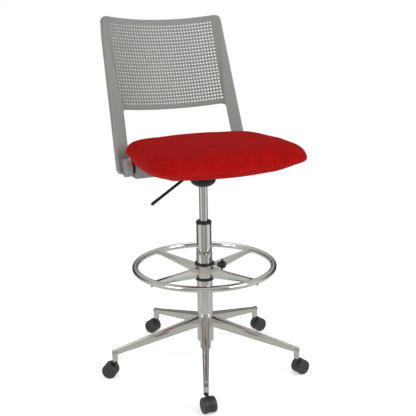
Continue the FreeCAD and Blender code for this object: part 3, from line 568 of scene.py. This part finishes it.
# Zinc-plated steel: a bluish grey metal, satin, with the mottle of the plating.
zinc_steel, zinc = new_finish("zinc plated steel")
spot = add(zinc, "ShaderNodeTexCoord").outputs["Object"]
mottle = noise(zinc, spot, 0.002, 2.0)
rough = span(zinc, mottle, 0.24, 0.40)
metal = add(zinc, "ShaderNodeBsdfPrincipled", {
    "Base Color": linear("#BFC2C4"), "Metallic": 1.0, "Roughness": rough.outputs["Result"]})
surfaced(zinc, metal)

HEADINGS = (-92.9, 11.1, 10.1, 125.1, 141.1)
wheel_radius = 0.025
half_space = 0.004
wheel_face = 0.021
trail = 0.018
half_web = 0.0033
for number, (turn, heading) in enumerate(zip(ARM_TURNS, HEADINGS), 1):
    under = Matrix.Translation((arm_reach * math.cos(turn), arm_reach * math.sin(turn), 0))
    under = under @ Matrix.Rotation(math.radians(heading), 4, "Z")
    axle = under @ Matrix.Translation((trail, 0, wheel_radius)) @ Matrix.Rotation(-math.pi / 2, 4, "X")
    web = turning([(0, -half_web), (0.0232, -half_web), (0.0232, half_web), (0, half_web)], 0.0008, 64)
    neck = turning([(0.0051, 0.0490), (0.0068, 0.0490), (0.0080, 0.0510), (0.0080, 0.0588), (0.0073, 0.0596),
                    (0.0051, 0.0596)], 0.0006, 48)
    throat = loft([[Vector((along, side, up)) for along, side, up in (
        (rear, -half_web, rear_up), (rear, half_web, rear_up), (0.0145, half_web, fore_up),
        (0.0145, -half_web, fore_up))]
        for rear, rear_up, fore_up in ((-0.0035, 0.0575, 0.0545), (0.0005, 0.028, 0.028))])
    hood = piece(f"castor_{number}_fork", [
        moved(web, axle), moved(neck, under), moved(throat, under)], castor_nylon)
    fitted(hood, f"castor_{number}", "castor_plastic", f"castor_{number}_hood")
    for side, sign in (("left", 1), ("right", -1)):
        facing = axle if sign > 0 else axle @ Matrix.Rotation(math.pi, 4, "X")
        tyre = turning([
            (0.0031, half_space), (0.0225, half_space), (wheel_radius, half_space + 0.0025),
            (wheel_radius, wheel_face - 0.0035), (0.0225, wheel_face - 0.0004), (0.0185, wheel_face),
            (0.0172, wheel_face - 0.0013), (0.0080, wheel_face - 0.0010), (0.0070, wheel_face - 0.0020),
            (0.0031, wheel_face - 0.0020)], 0.0008, 64)
        wheel = piece(f"castor_{number}_{side}_disc", [moved(tyre, facing)], castor_nylon)
        cap = piece(f"castor_{number}_{side}_cap", [moved(turning([
            (0, wheel_face - 0.0035), (0.0030, wheel_face - 0.0035), (0.0030, wheel_face - 0.0014),
            (0.0018, wheel_face - 0.0008), (0, wheel_face - 0.0006)], 0.0004, 32), facing)], castor_nylon)
        fitted(wheel, f"castor_{number}_{side}", "castor_plastic", f"castor_{number}_wheel_{side}")
        fitted(cap, f"castor_{number}_{side}", "castor_plastic")


def refinish(finish, *nodes):
    """Gives CAD nodes that stay as they are a full material."""
    for node in nodes:
        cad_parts[node].data.materials.clear()
        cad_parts[node].data.materials.append(finish)


refinish(zinc_steel, "piston_rod", "piston", "rod_clip", "release_pin", "lever_pin", "seat_screws",
         "beam_screws", "thrust_bearing", "clamp_screw", "pivot_pins",
         *[f"castor_{number}_{what}" for number in range(1, 6) for what in ("stem", "axle")])


# ---------------------------------------------------------------- mechanism
# A pressed steel housing, powder coated black, screwed up to the seat board. Its pan takes the gas lift's
# taper, a moulded black cup covers the joint, and the release lever comes out through the pan's side.

# Black powder coat on steel: an even, slightly bumpy satin film.
powder_coat, powder = new_finish("black powder coat")
spot = add(powder, "ShaderNodeTexCoord").outputs["Object"]
peel = noise(powder, spot, 0.0015, 1.0)
bump = relief_of(powder, peel, 0.3, 0.0003)
rough = span(powder, peel, 0.30, 0.42)
film = add(powder, "ShaderNodeBsdfPrincipled", {
    "Base Color": linear("#161617"), "Roughness": rough.outputs["Result"], "IOR": 1.5,
    "Normal": bump.outputs["Normal"]})
surfaced(powder, film)
refinish(powder_coat, "mechanism_housing")

cup_low, cup_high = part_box("mechanism_cup")
cup = piece("taper_cup", [turning([
    (0.0144, cup_low.z), (0.0200, cup_low.z), (0.0260, cup_low.z + 0.0022), (0.0330, cup_low.z + 0.0062),
    (0.0388, cup_low.z + 0.0120), (cup_high.x - 0.0005, cup_high.z - 0.0020), (cup_high.x, cup_high.z),
    (0.0144, cup_high.z)], 0.0030)], black_nylon, sharp=50)
fitted(cup, "seat", "black_plastic", "mechanism_cup")

lever_end = Vector((-0.190, -0.028, 0.599))
lever_hub = Vector((-0.022, 0.0176, 0.6818))
lever_tip = Vector((0.002, 0, 0.6848))
lever_radius = 0.00475


def round_bar(start, end, sizes):
    """A round bar between two points, by (share of the way, radius)."""
    turn = (end - start).to_track_quat("Z", "Y").to_matrix().to_4x4()
    long = (end - start).length
    outline = [(0, sizes[0][0] * long), *((radius, share * long) for share, radius in sizes),
               (0, sizes[-1][0] * long)]
    return moved(turning(outline, 0.0015, 40), Matrix.Translation(start) @ turn)


lever_shape = [
    round_bar(lever_hub, lever_end, [(0, lever_radius), (0.86, lever_radius), (0.875, lever_radius + 0.0005),
                                     (0.995, lever_radius + 0.0005), (1.022, lever_radius * 0.7)]),
    round_bar(lever_hub, lever_tip, [(0, 0.00375), (1, 0.00375)]),
    moved(turning([(0.00306, -0.006), (0.00675, -0.006), (0.00675, 0.006), (0.00306, 0.006)], 0.0005, 48),
          Matrix.Translation(lever_hub) @ Matrix.Rotation(math.pi / 2, 4, "X"))]
lever = piece("lever_rod", lever_shape, powder_coat)
fitted(lever, "lever", "black_steel", "release_lever")


# ---------------------------------------------------------------- seat
# A plywood-thin moulded board and a cut foam pad, pulled over with red woven cloth that is stapled under
# the board. The cloth rolls under to a narrow stapled edge, which passes between the round bosses.

refinish(black_nylon, "seat_board")


def plan_line(corners, steps):
    """Evenly spaced points round a plan of (corner, how far its rounding reaches)."""
    line = []
    for number, (corner, reach) in enumerate(corners):
        corner = Vector(corner)
        start = corner + (Vector(corners[number - 1][0]) - corner).normalized() * reach
        end = corner + (Vector(corners[(number + 1) % len(corners)][0]) - corner).normalized() * reach
        for share in (step / 12 for step in range(13)):
            line.append(start * (1 - share) ** 2 + corner * 2 * share * (1 - share) + end * share ** 2)
    line.append(line[0])
    lengths = [0.0]
    for one, other in zip(line, line[1:]):
        lengths.append(lengths[-1] + (other - one).length)
    points, at = [], 0
    for step in range(steps):
        want = lengths[-1] * step / steps
        while lengths[at + 1] < want:
            at += 1
        share = (want - lengths[at]) / (lengths[at + 1] - lengths[at])
        points.append(line[at].lerp(line[at + 1], share))
    return points


def smooth(low, high, number):
    """From 0 to 1 between two numbers, with eased ends."""
    share = min(max((number - low) / (high - low), 0), 1)
    return share * share * (3 - 2 * share)


crown_y = -0.045


def top_height(x, y):
    """The height of the pad's top over a place: a broad crown that falls to every side, most in front."""
    ahead = y < crown_y
    along = (y - crown_y) / (0.20 if ahead else 0.19)
    return 0.7915 - 0.0085 * (abs(x) / 0.256) ** 2.4 - (0.0140 if ahead else 0.0080) * abs(along) ** 2.6


def side_height(y):
    """The height of the pad's broad line, which falls towards the front."""
    return 0.7474 + 0.0600 * y


def both_sides(*corners):
    """A whole plan from its left corners, rear to front, and its two middle points."""
    *left, front_middle, rear_middle = corners
    return [*left, front_middle, *(((-x, y), reach) for (x, y), reach in reversed(left)), rear_middle]


# The outlines are the broad one at mid-height and the narrow one where the cloth is stapled; each ring of
# the pad lies a share of the way between them, or draws in from the broad one towards the middle.
RING = 144
broad = plan_line(both_sides(
    ((-0.2410, 0.1120), 0.062), ((-0.2600, -0.130), 0.012), ((-0.2610, -0.2765), 0.088),
    ((0, -0.2665), 0.120), ((0, 0.1470), 0.100)), RING)
narrow = plan_line(both_sides(
    ((-0.186, 0.131), 0.030), ((-0.1950, -0.140), 0.010), ((-0.1900, -0.2000), 0.014),
    ((0, -0.2580), 0.120), ((0, 0.136), 0.100)), RING)
hem = 0.7070
heart = Vector((0, crown_y))
under_rings = [(0.0, 0.0), (0.06, 0.03), (0.20, 0.11), (0.40, 0.26), (0.60, 0.44), (0.78, 0.63), (0.91, 0.80),
               (0.98, 0.93)]
over_rings = [(1.0, 0.08), (0.993, 0.35), (0.975, 0.62), (0.950, 0.80), (0.91, 0.92), (0.85, 0.98),
              (0.76, 1.0), (0.62, 1.0), (0.45, 1.0), (0.28, 1.0), (0.13, 1.0)]
pad_shape = bmesh.new()
pad_rings = [[pad_shape.verts.new((*heart.lerp(corner, scale), hem)) for corner in narrow]
             for scale in (0.45, 0.8, 0.95)]
for share, rise in under_rings:
    ring = []
    for low, high in zip(narrow, broad):
        ring.append(pad_shape.verts.new((*low.lerp(high, share), hem + (side_height(high.y) - hem) * rise)))
    pad_rings.append(ring)
for scale, rise in over_rings:
    ring = []
    for corner in broad:
        spot, level = heart.lerp(corner, scale), side_height(corner.y)
        ring.append(pad_shape.verts.new((*spot, level + (top_height(*spot) - level) * rise)))
    pad_rings.append(ring)
for one, other in zip(pad_rings, pad_rings[1:]):
    for step in range(RING):
        following = (step + 1) % RING
        pad_shape.faces.new((one[step], one[following], other[following], other[step]))
for ring, level_at in ((pad_rings[0], hem), (pad_rings[-1], top_height(*heart))):
    middle = pad_shape.verts.new((*heart, level_at))
    for step in range(RING):
        pad_shape.faces.new((ring[step], ring[(step + 1) % RING], middle))

# Red woven upholstery cloth: crepe-like, of slubby polyester yarns about 1.2 mm apart, matt with a soft
# sheen. The yarns are drawn 2 mm apart so that they show, with mottling where dark and light yarns meet.
red_cloth, cloth = new_finish("red woven upholstery cloth")
spot = add(cloth, "ShaderNodeTexCoord").outputs["Object"]
drift = noise(cloth, spot, 0.006, 2.0)
yarn_place = add(cloth, "ShaderNodeMix", {
    "Factor": 0.0009, 4: spot, 5: drift.outputs["Color"]}, data_type="VECTOR").outputs[1]
warp, weft = (add(cloth, "ShaderNodeTexWave", {
    "Vector": yarn_place, "Scale": 0.314 / 0.0020}, bands_direction=way) for way in ("X", "Y"))
yarns = add(cloth, "ShaderNodeMath", {0: warp.outputs["Fac"], 1: weft.outputs["Fac"]}, operation="MULTIPLY")
fuzz = add(cloth, "ShaderNodeTexNoise", {
    "Vector": spot, "Scale": 1 / 0.0030, "Detail": 3.0, "Roughness": 0.7})
mottle = noise(cloth, spot, 0.035, 3.0)
calm = span(cloth, mottle, 0.40, 0.60)
shade = add(cloth, "ShaderNodeMath", {0: fuzz.outputs["Fac"], 1: calm.outputs["Result"]}, operation="ADD")
mix = add(cloth, "ShaderNodeMapRange", {"Value": shade.outputs["Value"], "From Min": 0.78, "From Max": 1.22})
tint = add(cloth, "ShaderNodeMix", {
    "Factor": mix.outputs["Result"], 6: linear("#7E0406"), 7: linear("#C41312")}, data_type="RGBA")
relief = add(cloth, "ShaderNodeMath", {0: fuzz.outputs["Fac"], 1: yarns.outputs["Value"]}, operation="ADD")
bump = add(cloth, "ShaderNodeBump", {"Height": relief.outputs["Value"], "Strength": 0.8, "Distance": 0.0010})
weave = add(cloth, "ShaderNodeBsdfPrincipled", {
    "Base Color": tint.outputs[2], "Roughness": 0.92, "Sheen Weight": 0.03, "Sheen Roughness": 0.5,
    "Sheen Tint": linear("#E06060"), "Specular IOR Level": 0.08, "Normal": bump.outputs["Normal"]})
surfaced(cloth, weave)

pad = piece("seat_pad", [pad_shape], red_cloth, sharp=180)


def puffed(made, voxel, pressure, cap):
    """Swells a pad as a cloth bag under pressure, and limits how far each point moves."""
    remesh = made.modifiers.new("remesh", "REMESH")
    remesh.mode = "VOXEL"
    remesh.voxel_size = voxel
    graph = bpy.context.evaluated_depsgraph_get()
    start = bpy.data.meshes.new_from_object(made.evaluated_get(graph))
    made.modifiers.remove(remesh)
    made.data = start
    flat = [vertex.co.copy() for vertex in start.vertices]
    held = made.vertex_groups.new(name="stapled")
    held.add([vertex.index for vertex in start.vertices if vertex.co.z < hem + 0.0010], 1.0, "REPLACE")
    bag = made.modifiers.new("bag", "CLOTH")
    bag.settings.use_pressure = True
    bag.settings.uniform_pressure_force = pressure
    bag.settings.effector_weights.gravity = 0
    bag.settings.vertex_group_mass = "stapled"
    bag.settings.quality = 5
    bag.point_cache.frame_end = 20
    for moment in range(1, 21):
        scene.frame_set(moment)
    graph = bpy.context.evaluated_depsgraph_get()
    swollen = bpy.data.meshes.new_from_object(made.evaluated_get(graph))
    made.modifiers.remove(bag)
    scene.frame_set(1)
    for vertex, before in zip(swollen.vertices, flat):
        step = vertex.co - before
        vertex.co = before + step * min(1.0, cap / max(step.length, 1e-9))
    made.data = swollen
    made.vertex_groups.clear()


puffed(pad, 0.005, 4.0, 0.006)
boss_gap_half, boss_front, boss_top, pad_rear = 0.199, 0.05, 0.724, 0.1478
for vertex in pad.data.vertices:
    spot = vertex.co
    spot.z = max(spot.z, hem - 0.0003)
    if spot.y > boss_front and spot.z < boss_top:
        spot.x = math.copysign(min(abs(spot.x), boss_gap_half), spot.x)
    spot.y = min(spot.y, pad_rear)
pad.data.polygons.foreach_set("use_smooth", [True] * len(pad.data.polygons))
rounding = pad.modifiers.new("rounding", "SUBSURF")
rounding.levels = rounding.render_levels = 1
pad.data.materials.clear()
pad.data.materials.append(red_cloth)
fitted(pad, "seat", "red_fabric", "seat_cushion")

# A thin black strip pressed along the cloth's lower edge: painted shade, a dark line put where the seat's
# edge casts a thin line of shade.
edge_shape = bmesh.new()
edge_rings = []
edge_line = [Vector((*heart.lerp(corner, 0.992), hem - 0.0004)) for corner in narrow]
for number, spot in enumerate(edge_line):
    run = (edge_line[(number + 1) % len(edge_line)] - edge_line[number - 1]).normalized()
    side = run.cross(Vector((0, 0, 1))).normalized()
    lift = side.cross(run)
    edge_rings.append([
        edge_shape.verts.new(spot + (side * math.cos(turn) * 1.5 + lift * math.sin(turn)) * 0.0017)
        for turn in (2 * math.pi * step / 12 for step in range(12))])
for number, one in enumerate(edge_rings):
    other = edge_rings[(number + 1) % len(edge_rings)]
    for step in range(12):
        edge_shape.faces.new((one[step], other[step], other[(step + 1) % 12], one[(step + 1) % 12]))
painted_shade_strip = piece("seat_painted_shade", [edge_shape], black_nylon)
fitted(painted_shade_strip, "seat", "black_plastic")


# ---------------------------------------------------------------- rear beam
# A moulded grey beam, ribbed inside, screwed under the seat board's rear. It carries a rubber bush and a
# steel pin at each end, on which the back leans.

# Moulded grey polypropylene: mid grey, half matt, with the fine grained texture of its mould and slow
# drifts of tone where the melt flowed.
grey_plastic, resin_tree = new_finish("moulded grey polypropylene")
spot = add(resin_tree, "ShaderNodeTexCoord").outputs["Object"]
grain = noise(resin_tree, spot, 0.0012, 3.0)
flow = noise(resin_tree, spot, 0.090, 2.0)
tint = tones(resin_tree, flow, "#858683", "#8F908D")
bump = relief_of(resin_tree, grain, 0.35, 0.0003)
rough = span(resin_tree, grain, 0.42, 0.58)
resin = add(resin_tree, "ShaderNodeBsdfPrincipled", {
    "Base Color": tint.outputs[2], "Roughness": rough.outputs["Result"], "IOR": 1.49,
    "Specular IOR Level": 0.4, "Normal": bump.outputs["Normal"]})
surfaced(resin_tree, resin)

# Moulded rubber: black, matt and a little dusty.
bush_rubber, rubber = new_finish("moulded black rubber")
spot = add(rubber, "ShaderNodeTexCoord").outputs["Object"]
bloom = noise(rubber, spot, 0.004, 3.0)
tint = tones(rubber, bloom, "#101010", "#222221")
compound = add(rubber, "ShaderNodeBsdfPrincipled", {
    "Base Color": tint.outputs[2], "Roughness": 0.75, "IOR": 1.52})
surfaced(rubber, compound)
refinish(bush_rubber, "clamp_pad", "rod_seal")

beam_low, beam_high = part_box("rear_beam")
pivot = Vector((0, 0.128, 0.691))
beam_front = pivot.y - 0.024


def beam_outline(x, grow):
    """The beam's outline across, a little larger or smaller."""
    corners = [(beam_front - grow, beam_low.z - grow), (beam_high.y + grow, beam_low.z - grow),
               (beam_high.y + grow, beam_high.z + grow), (beam_front - grow, beam_high.z + grow)]
    return [Vector((x, point.x, point.y)) for point in eased(corners, 0.007)]


beam_shapes = [loft([beam_outline(x, grow) for x, grow in (
    (-0.194, -0.002), (-0.1932, -0.0008), (-0.1915, 0), (0.1915, 0), (0.1932, -0.0008), (0.194, -0.002))])]
tongue = [(-0.052, beam_low.z + 0.008), (0.052, beam_low.z + 0.008), (0.052, beam_high.z - 0.004),
          (-0.052, beam_high.z - 0.004)]
beam_shapes.append(loft([[Vector((point.x, y, point.y)) for point in eased(tongue, 0.003)]
                         for y in (0.0852, beam_front + 0.01)]))
beam = piece("seat_rear_beam", beam_shapes, grey_plastic)
fitted(beam, "seat", "grey_plastic", "rear_beam")

for side, sign in (("left", -1), ("right", 1)):
    facing = Matrix.Translation((0, pivot.y, pivot.z)) @ Matrix.Rotation(sign * math.pi / 2, 4, "Y")
    bush = piece(f"rubber_bush_{side}", [turning([
        (0.0061, 0.1941), (0.0178, 0.1941), (0.0178, 0.2044), (0.0061, 0.2044)], 0.0008, 64)], bush_rubber)
    made_plain(bush, ribs, **{"Count": 16, "Circle radius": 0.0178, "Rib radius": 0.0016,
                              "Rib length": 0.0098, "Lean": 0.0, "Middle": 0.1993, "Finish": bush_rubber})
    bush.data.transform(facing)
    fitted(bush, "seat", "rubber", f"pivot_bush_{side}")


# ---------------------------------------------------------------- back
# One large moulding in grey polypropylene: a thin curved panel with 24 rows of 37 square holes, a rim round
# it, and two flat-faced uprights that run down its edges and end in round bosses on the pivot.

recline = math.radians(19.1)
back_foot = Vector((0, 0.1364, pivot.z))
back_top = 0.5234
window = 0.2007
half_foot = 0.2415
half_top = 0.2208
bow = 0.065
bow_radius = (half_foot ** 2 + bow ** 2) / (2 * bow)
face_width = 0.043
corner_round = 0.022
upright_foot, foot_round = -0.020, 0.018
hole_across = 0.01031
hole_up = 0.01204
holes_across = 37
holes_up = 24
field_half = holes_across * hole_across / 2
field_low = window + 0.0148
field_high = field_low + holes_up * hole_up
facet_lift = 0.55


def half_width(up):
    """Half the back's width at a height up its slope."""
    return half_foot - (half_foot - half_top) * up / back_top


def face_reach(up):
    """How far an upright's flat face reaches in from the outer edge."""
    return face_width - (face_width - 0.006) * min(max((up - window) / (back_top - 0.024 - window), 0), 1)


def bow_at(x):
    """How far the curved front lies behind its outer edges."""
    return bow - bow_radius + math.sqrt(bow_radius ** 2 - x ** 2)


def wall(x, up):
    """The moulding's thickness: thick uprights and rims, and a thin panel."""
    rim = 0.004
    if up > window - 0.0001:
        rim += 0.003 * (1 - smooth(window + 0.003, window + 0.0052, up))
    in_upright = half_width(up) - abs(x) < face_reach(up) - 0.0018 or up < window - 0.0001
    return (0.014 - 0.005 * smooth(0.44, back_top, up)) if in_upright else rim


def bent(x, up, depth):
    """A point of the back, from its place across, up the slope and through the wall."""
    half = half_width(up)
    over_x = (abs(x) - half + corner_round) / corner_round
    over_up = (up - back_top + corner_round) / corner_round
    if over_x > 0 and over_up > 0:
        round_x = over_x * math.sqrt(1 - over_up ** 2 / 2)
        round_up = over_up * math.sqrt(1 - over_x ** 2 / 2)
        x = math.copysign(half - corner_round + corner_round * round_x, x)
        up = back_top - corner_round + corner_round * round_up
    over_x = (abs(x) - half + foot_round) / foot_round
    under = (upright_foot + foot_round - up) / foot_round
    if over_x > 0 and under > 0:
        round_x = over_x * math.sqrt(1 - under ** 2 / 2)
        up = upright_foot + foot_round - foot_round * under * math.sqrt(1 - over_x ** 2 / 2)
        x = math.copysign(half - foot_round + foot_round * round_x, x)
    inner = half_width(up) - face_reach(up)
    behind = bow_at(x)
    past = abs(x) - inner
    if past > -0.008:
        share = min(max(past / face_reach(up), 0), 1)
        flat_face = bow_at(inner) + (bow_at(half_width(up)) - bow_at(inner)) * share
        raised = bow_at(half_width(up)) * facet_lift + flat_face * (1 - facet_lift)
        behind += (raised - behind) * smooth(-0.008, 0.0, past)
    lean = x / bow_radius
    x += lean * depth
    behind += math.sqrt(1 - lean ** 2) * depth
    return back_foot + Vector((x, up * math.sin(recline) + behind * math.cos(recline),
                               up * math.cos(recline) - behind * math.sin(recline)))


# One hole and the square of panel around it, flat. The tree repeats it over the field.
cell = bmesh.new()
rim_points = [Vector((sx * hole_across / 2, sy * hole_up / 2, 0)) for sx, sy in (
    (-1, -1), (0, -1), (1, -1), (1, 0), (1, 1), (0, 1), (-1, 1), (-1, 0))]
half_hole = 0.0028
nook = 0.0012
hole_points = []
for sx, sy in ((-1, -1), (1, -1), (1, 1), (-1, 1)):
    first = Vector((sx * half_hole, sy * (half_hole + 0.0002 - nook), 0))
    last = Vector((sx * (half_hole - nook), sy * (half_hole + 0.0002), 0))
    middle = Vector((sx * (half_hole - nook * 0.29), sy * (half_hole + 0.0002 - nook * 0.29), 0))
    hole_points.append((first, middle, last) if sx * sy > 0 else (last, middle, first))
outer_ring = [cell.verts.new(point) for point in rim_points]
inner_ring = [[cell.verts.new(point) for point in corner] for corner in hole_points]
inner_mid = [cell.verts.new(point) for point in (
    (0, -half_hole - 0.0002, 0), (half_hole, 0, 0), (0, half_hole + 0.0002, 0), (-half_hole, 0, 0))]
for corner in range(4):
    entering, turning_point, leaving = inner_ring[corner]
    cell.faces.new((outer_ring[2 * corner - 1], outer_ring[2 * corner], turning_point, entering,
                    inner_mid[corner - 1]))
    cell.faces.new((outer_ring[2 * corner], outer_ring[2 * corner + 1], inner_mid[corner], leaving,
                    turning_point))
cell_mesh = bpy.data.meshes.new("hole_cell")
cell.to_mesh(cell_mesh)
cell.free()
field = bpy.data.objects.new("hole_field", cell_mesh)
scene.collection.objects.link(field)

holes, given = new_tree(
    "field of holes", ("Holes across", "Int", holes_across), ("Holes up", "Int", holes_up),
    ("Pitch across", "Float", hole_across), ("Pitch up", "Float", hole_up),
    ("Middle", "Float", (field_low + field_high) / 2), ("Finish", "Material", grey_plastic))
spans = [add(holes, "ShaderNodeMath", {
    0: add(holes, "ShaderNodeMath", {0: given[count], 1: 1.0}, operation="SUBTRACT").outputs["Value"],
    1: given[pitch]}, operation="MULTIPLY").outputs["Value"]
    for count, pitch in (("Holes across", "Pitch across"), ("Holes up", "Pitch up"))]
places = add(holes, "GeometryNodeMeshGrid", {
    "Size X": spans[0], "Size Y": spans[1], "Vertices X": given["Holes across"],
    "Vertices Y": given["Holes up"]})
raised = add(holes, "GeometryNodeSetPosition", {
    "Geometry": places.outputs["Mesh"],
    "Offset": add(holes, "ShaderNodeCombineXYZ", {"Y": given["Middle"]}).outputs["Vector"]})
spread = add(holes, "GeometryNodeInstanceOnPoints", {
    "Points": raised.outputs["Geometry"], "Instance": given["Geometry"]})
plain = add(holes, "GeometryNodeRealizeInstances", {"Geometry": spread.outputs["Instances"]})
tree_end(holes, plain.outputs["Geometry"], given["Finish"])
made_plain(field, holes)

# The plain margins round the field and the two uprights, flat, on a grid that meets the field's edges.
sheet = bmesh.new()
sheet.from_mesh(field.data)
bpy.data.objects.remove(field)
up_field = [field_low + step * hole_up / 2 for step in range(2 * holes_up + 1)]
up_above = [field_high, 0.5092, back_top - 0.0098, back_top - 0.0072, back_top - 0.0036, back_top]
up_below = [window, window + 0.0045, window + 0.0095, field_low]
fillet = hole_across
up_leg = [upright_foot, -0.0165, -0.0125, -0.008, -0.003, 0.004] + [
    0.004 + (window - fillet - 0.004) * step / 13 for step in range(1, 14)] + [
    window - fillet * 2 / 3, window - fillet / 3, window]
columns = [-field_half + step * hole_across / 2 for step in range(2 * holes_across + 1)]


def margin(sign, up):
    """Places across one margin, from the field or an upright's inner edge to the outer edge."""
    half = half_width(up)
    inner = field_half if up >= window else half - (half_width(window) - field_half)
    crease = max(half - face_reach(up), inner + 0.0012)
    line = [inner, (inner + crease) / 2, crease, crease + 0.0020]
    line += [line[-1] + (half - line[-1]) * share for share in (0.25, 0.5, 0.72, 0.88, 1)]
    return [sign * x for x in line]


def patch(rows):
    """Faces over rows of flat points."""
    grid = [[sheet.verts.new((x, up, 0)) for x in row] for up, row in rows]
    for one, other in zip(grid, grid[1:]):
        for step in range(len(one) - 1):
            sheet.faces.new((one[step], one[step + 1], other[step + 1], other[step]))


patch([(up, columns) for up in up_above])
patch([(up, columns) for up in up_below])
for sign in (-1, 1):
    patch([(up, margin(sign, up)) for up in up_leg + up_below[1:] + up_field[1:] + up_above[1:]])
    edge = [(sign * x, window) for x in (field_half, field_half - fillet / 2, field_half - fillet)]
    arc = [(sign * (field_half - fillet + fillet * math.sin(turn)), window - fillet + fillet * math.cos(turn))
           for turn in (math.radians(angle) for angle in (18, 36, 54, 72))]
    leg = [(sign * (half_width(up) - half_width(window) + field_half), up) for up in (
        window - fillet, window - fillet * 2 / 3, window - fillet / 3)]
    sheet.faces.new([sheet.verts.new((x, up, 0)) for x, up in edge + arc + leg])
bmesh.ops.remove_doubles(sheet, verts=sheet.verts, dist=0.00003)

shell = bmesh.new()
front, rear = {}, {}
for vertex in sheet.verts:
    x, up = vertex.co.x, vertex.co.y
    front[vertex] = shell.verts.new(bent(x, up, 0))
    rear[vertex] = shell.verts.new(bent(x, up, wall(x, up)))
for face in sheet.faces:
    shell.faces.new([front[vertex] for vertex in face.verts])
    shell.faces.new([rear[vertex] for vertex in reversed(face.verts)])
outline = []
for edge in sheet.edges:
    if len(edge.link_faces) == 1:
        one, other = edge.verts
        shell.faces.new((front[one], front[other], rear[other], rear[one]))
        hole_edge = all(abs(vertex.co.x) < field_half - 0.0005
                        and field_low + 0.0005 < vertex.co.y < field_high - 0.0005 for vertex in edge.verts)
        if not hole_edge:
            outline += [shell.edges.get((skin[one], skin[other])) for skin in (front, rear)]
sheet.free()
bmesh.ops.recalc_face_normals(shell, faces=shell.faces)
bmesh.ops.bevel(
    shell, geom=outline, offset=0.0016, segments=3, profile=0.5, affect="EDGES", clamp_overlap=False)

bosses = []
for side, sign in (("left", -1), ("right", 1)):
    facing = Matrix.Translation((0, pivot.y, pivot.z)) @ Matrix.Rotation(sign * math.pi / 2, 4, "Y")
    bosses.append(moved(turning([
        (0.0062, 0.2052), (0.0290, 0.2052), (0.0305, 0.2067), (0.0305, 0.2240), (0.0288, 0.2264),
        (0.0276, 0.2266), (0.0274, 0.2252), (0.0062, 0.2252)], 0.0008, 80), facing))
    cap = piece(f"pivot_cap_{side}", [moved(turning([
        (0, 0.2252), (0.0270, 0.2252), (0.0270, 0.2264), (0.0255, 0.2274), (0, 0.2279)], 0.0008, 80),
        facing)], grey_plastic)
    fitted(cap, "back", "grey_plastic", f"boss_cap_{side}")
back = piece("perforated_back", [shell, *bosses], grey_plastic, sharp=38)
fitted(back, "back", "grey_plastic", "backrest_shell")


# ---------------------------------------------------------------- sizes

low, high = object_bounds()
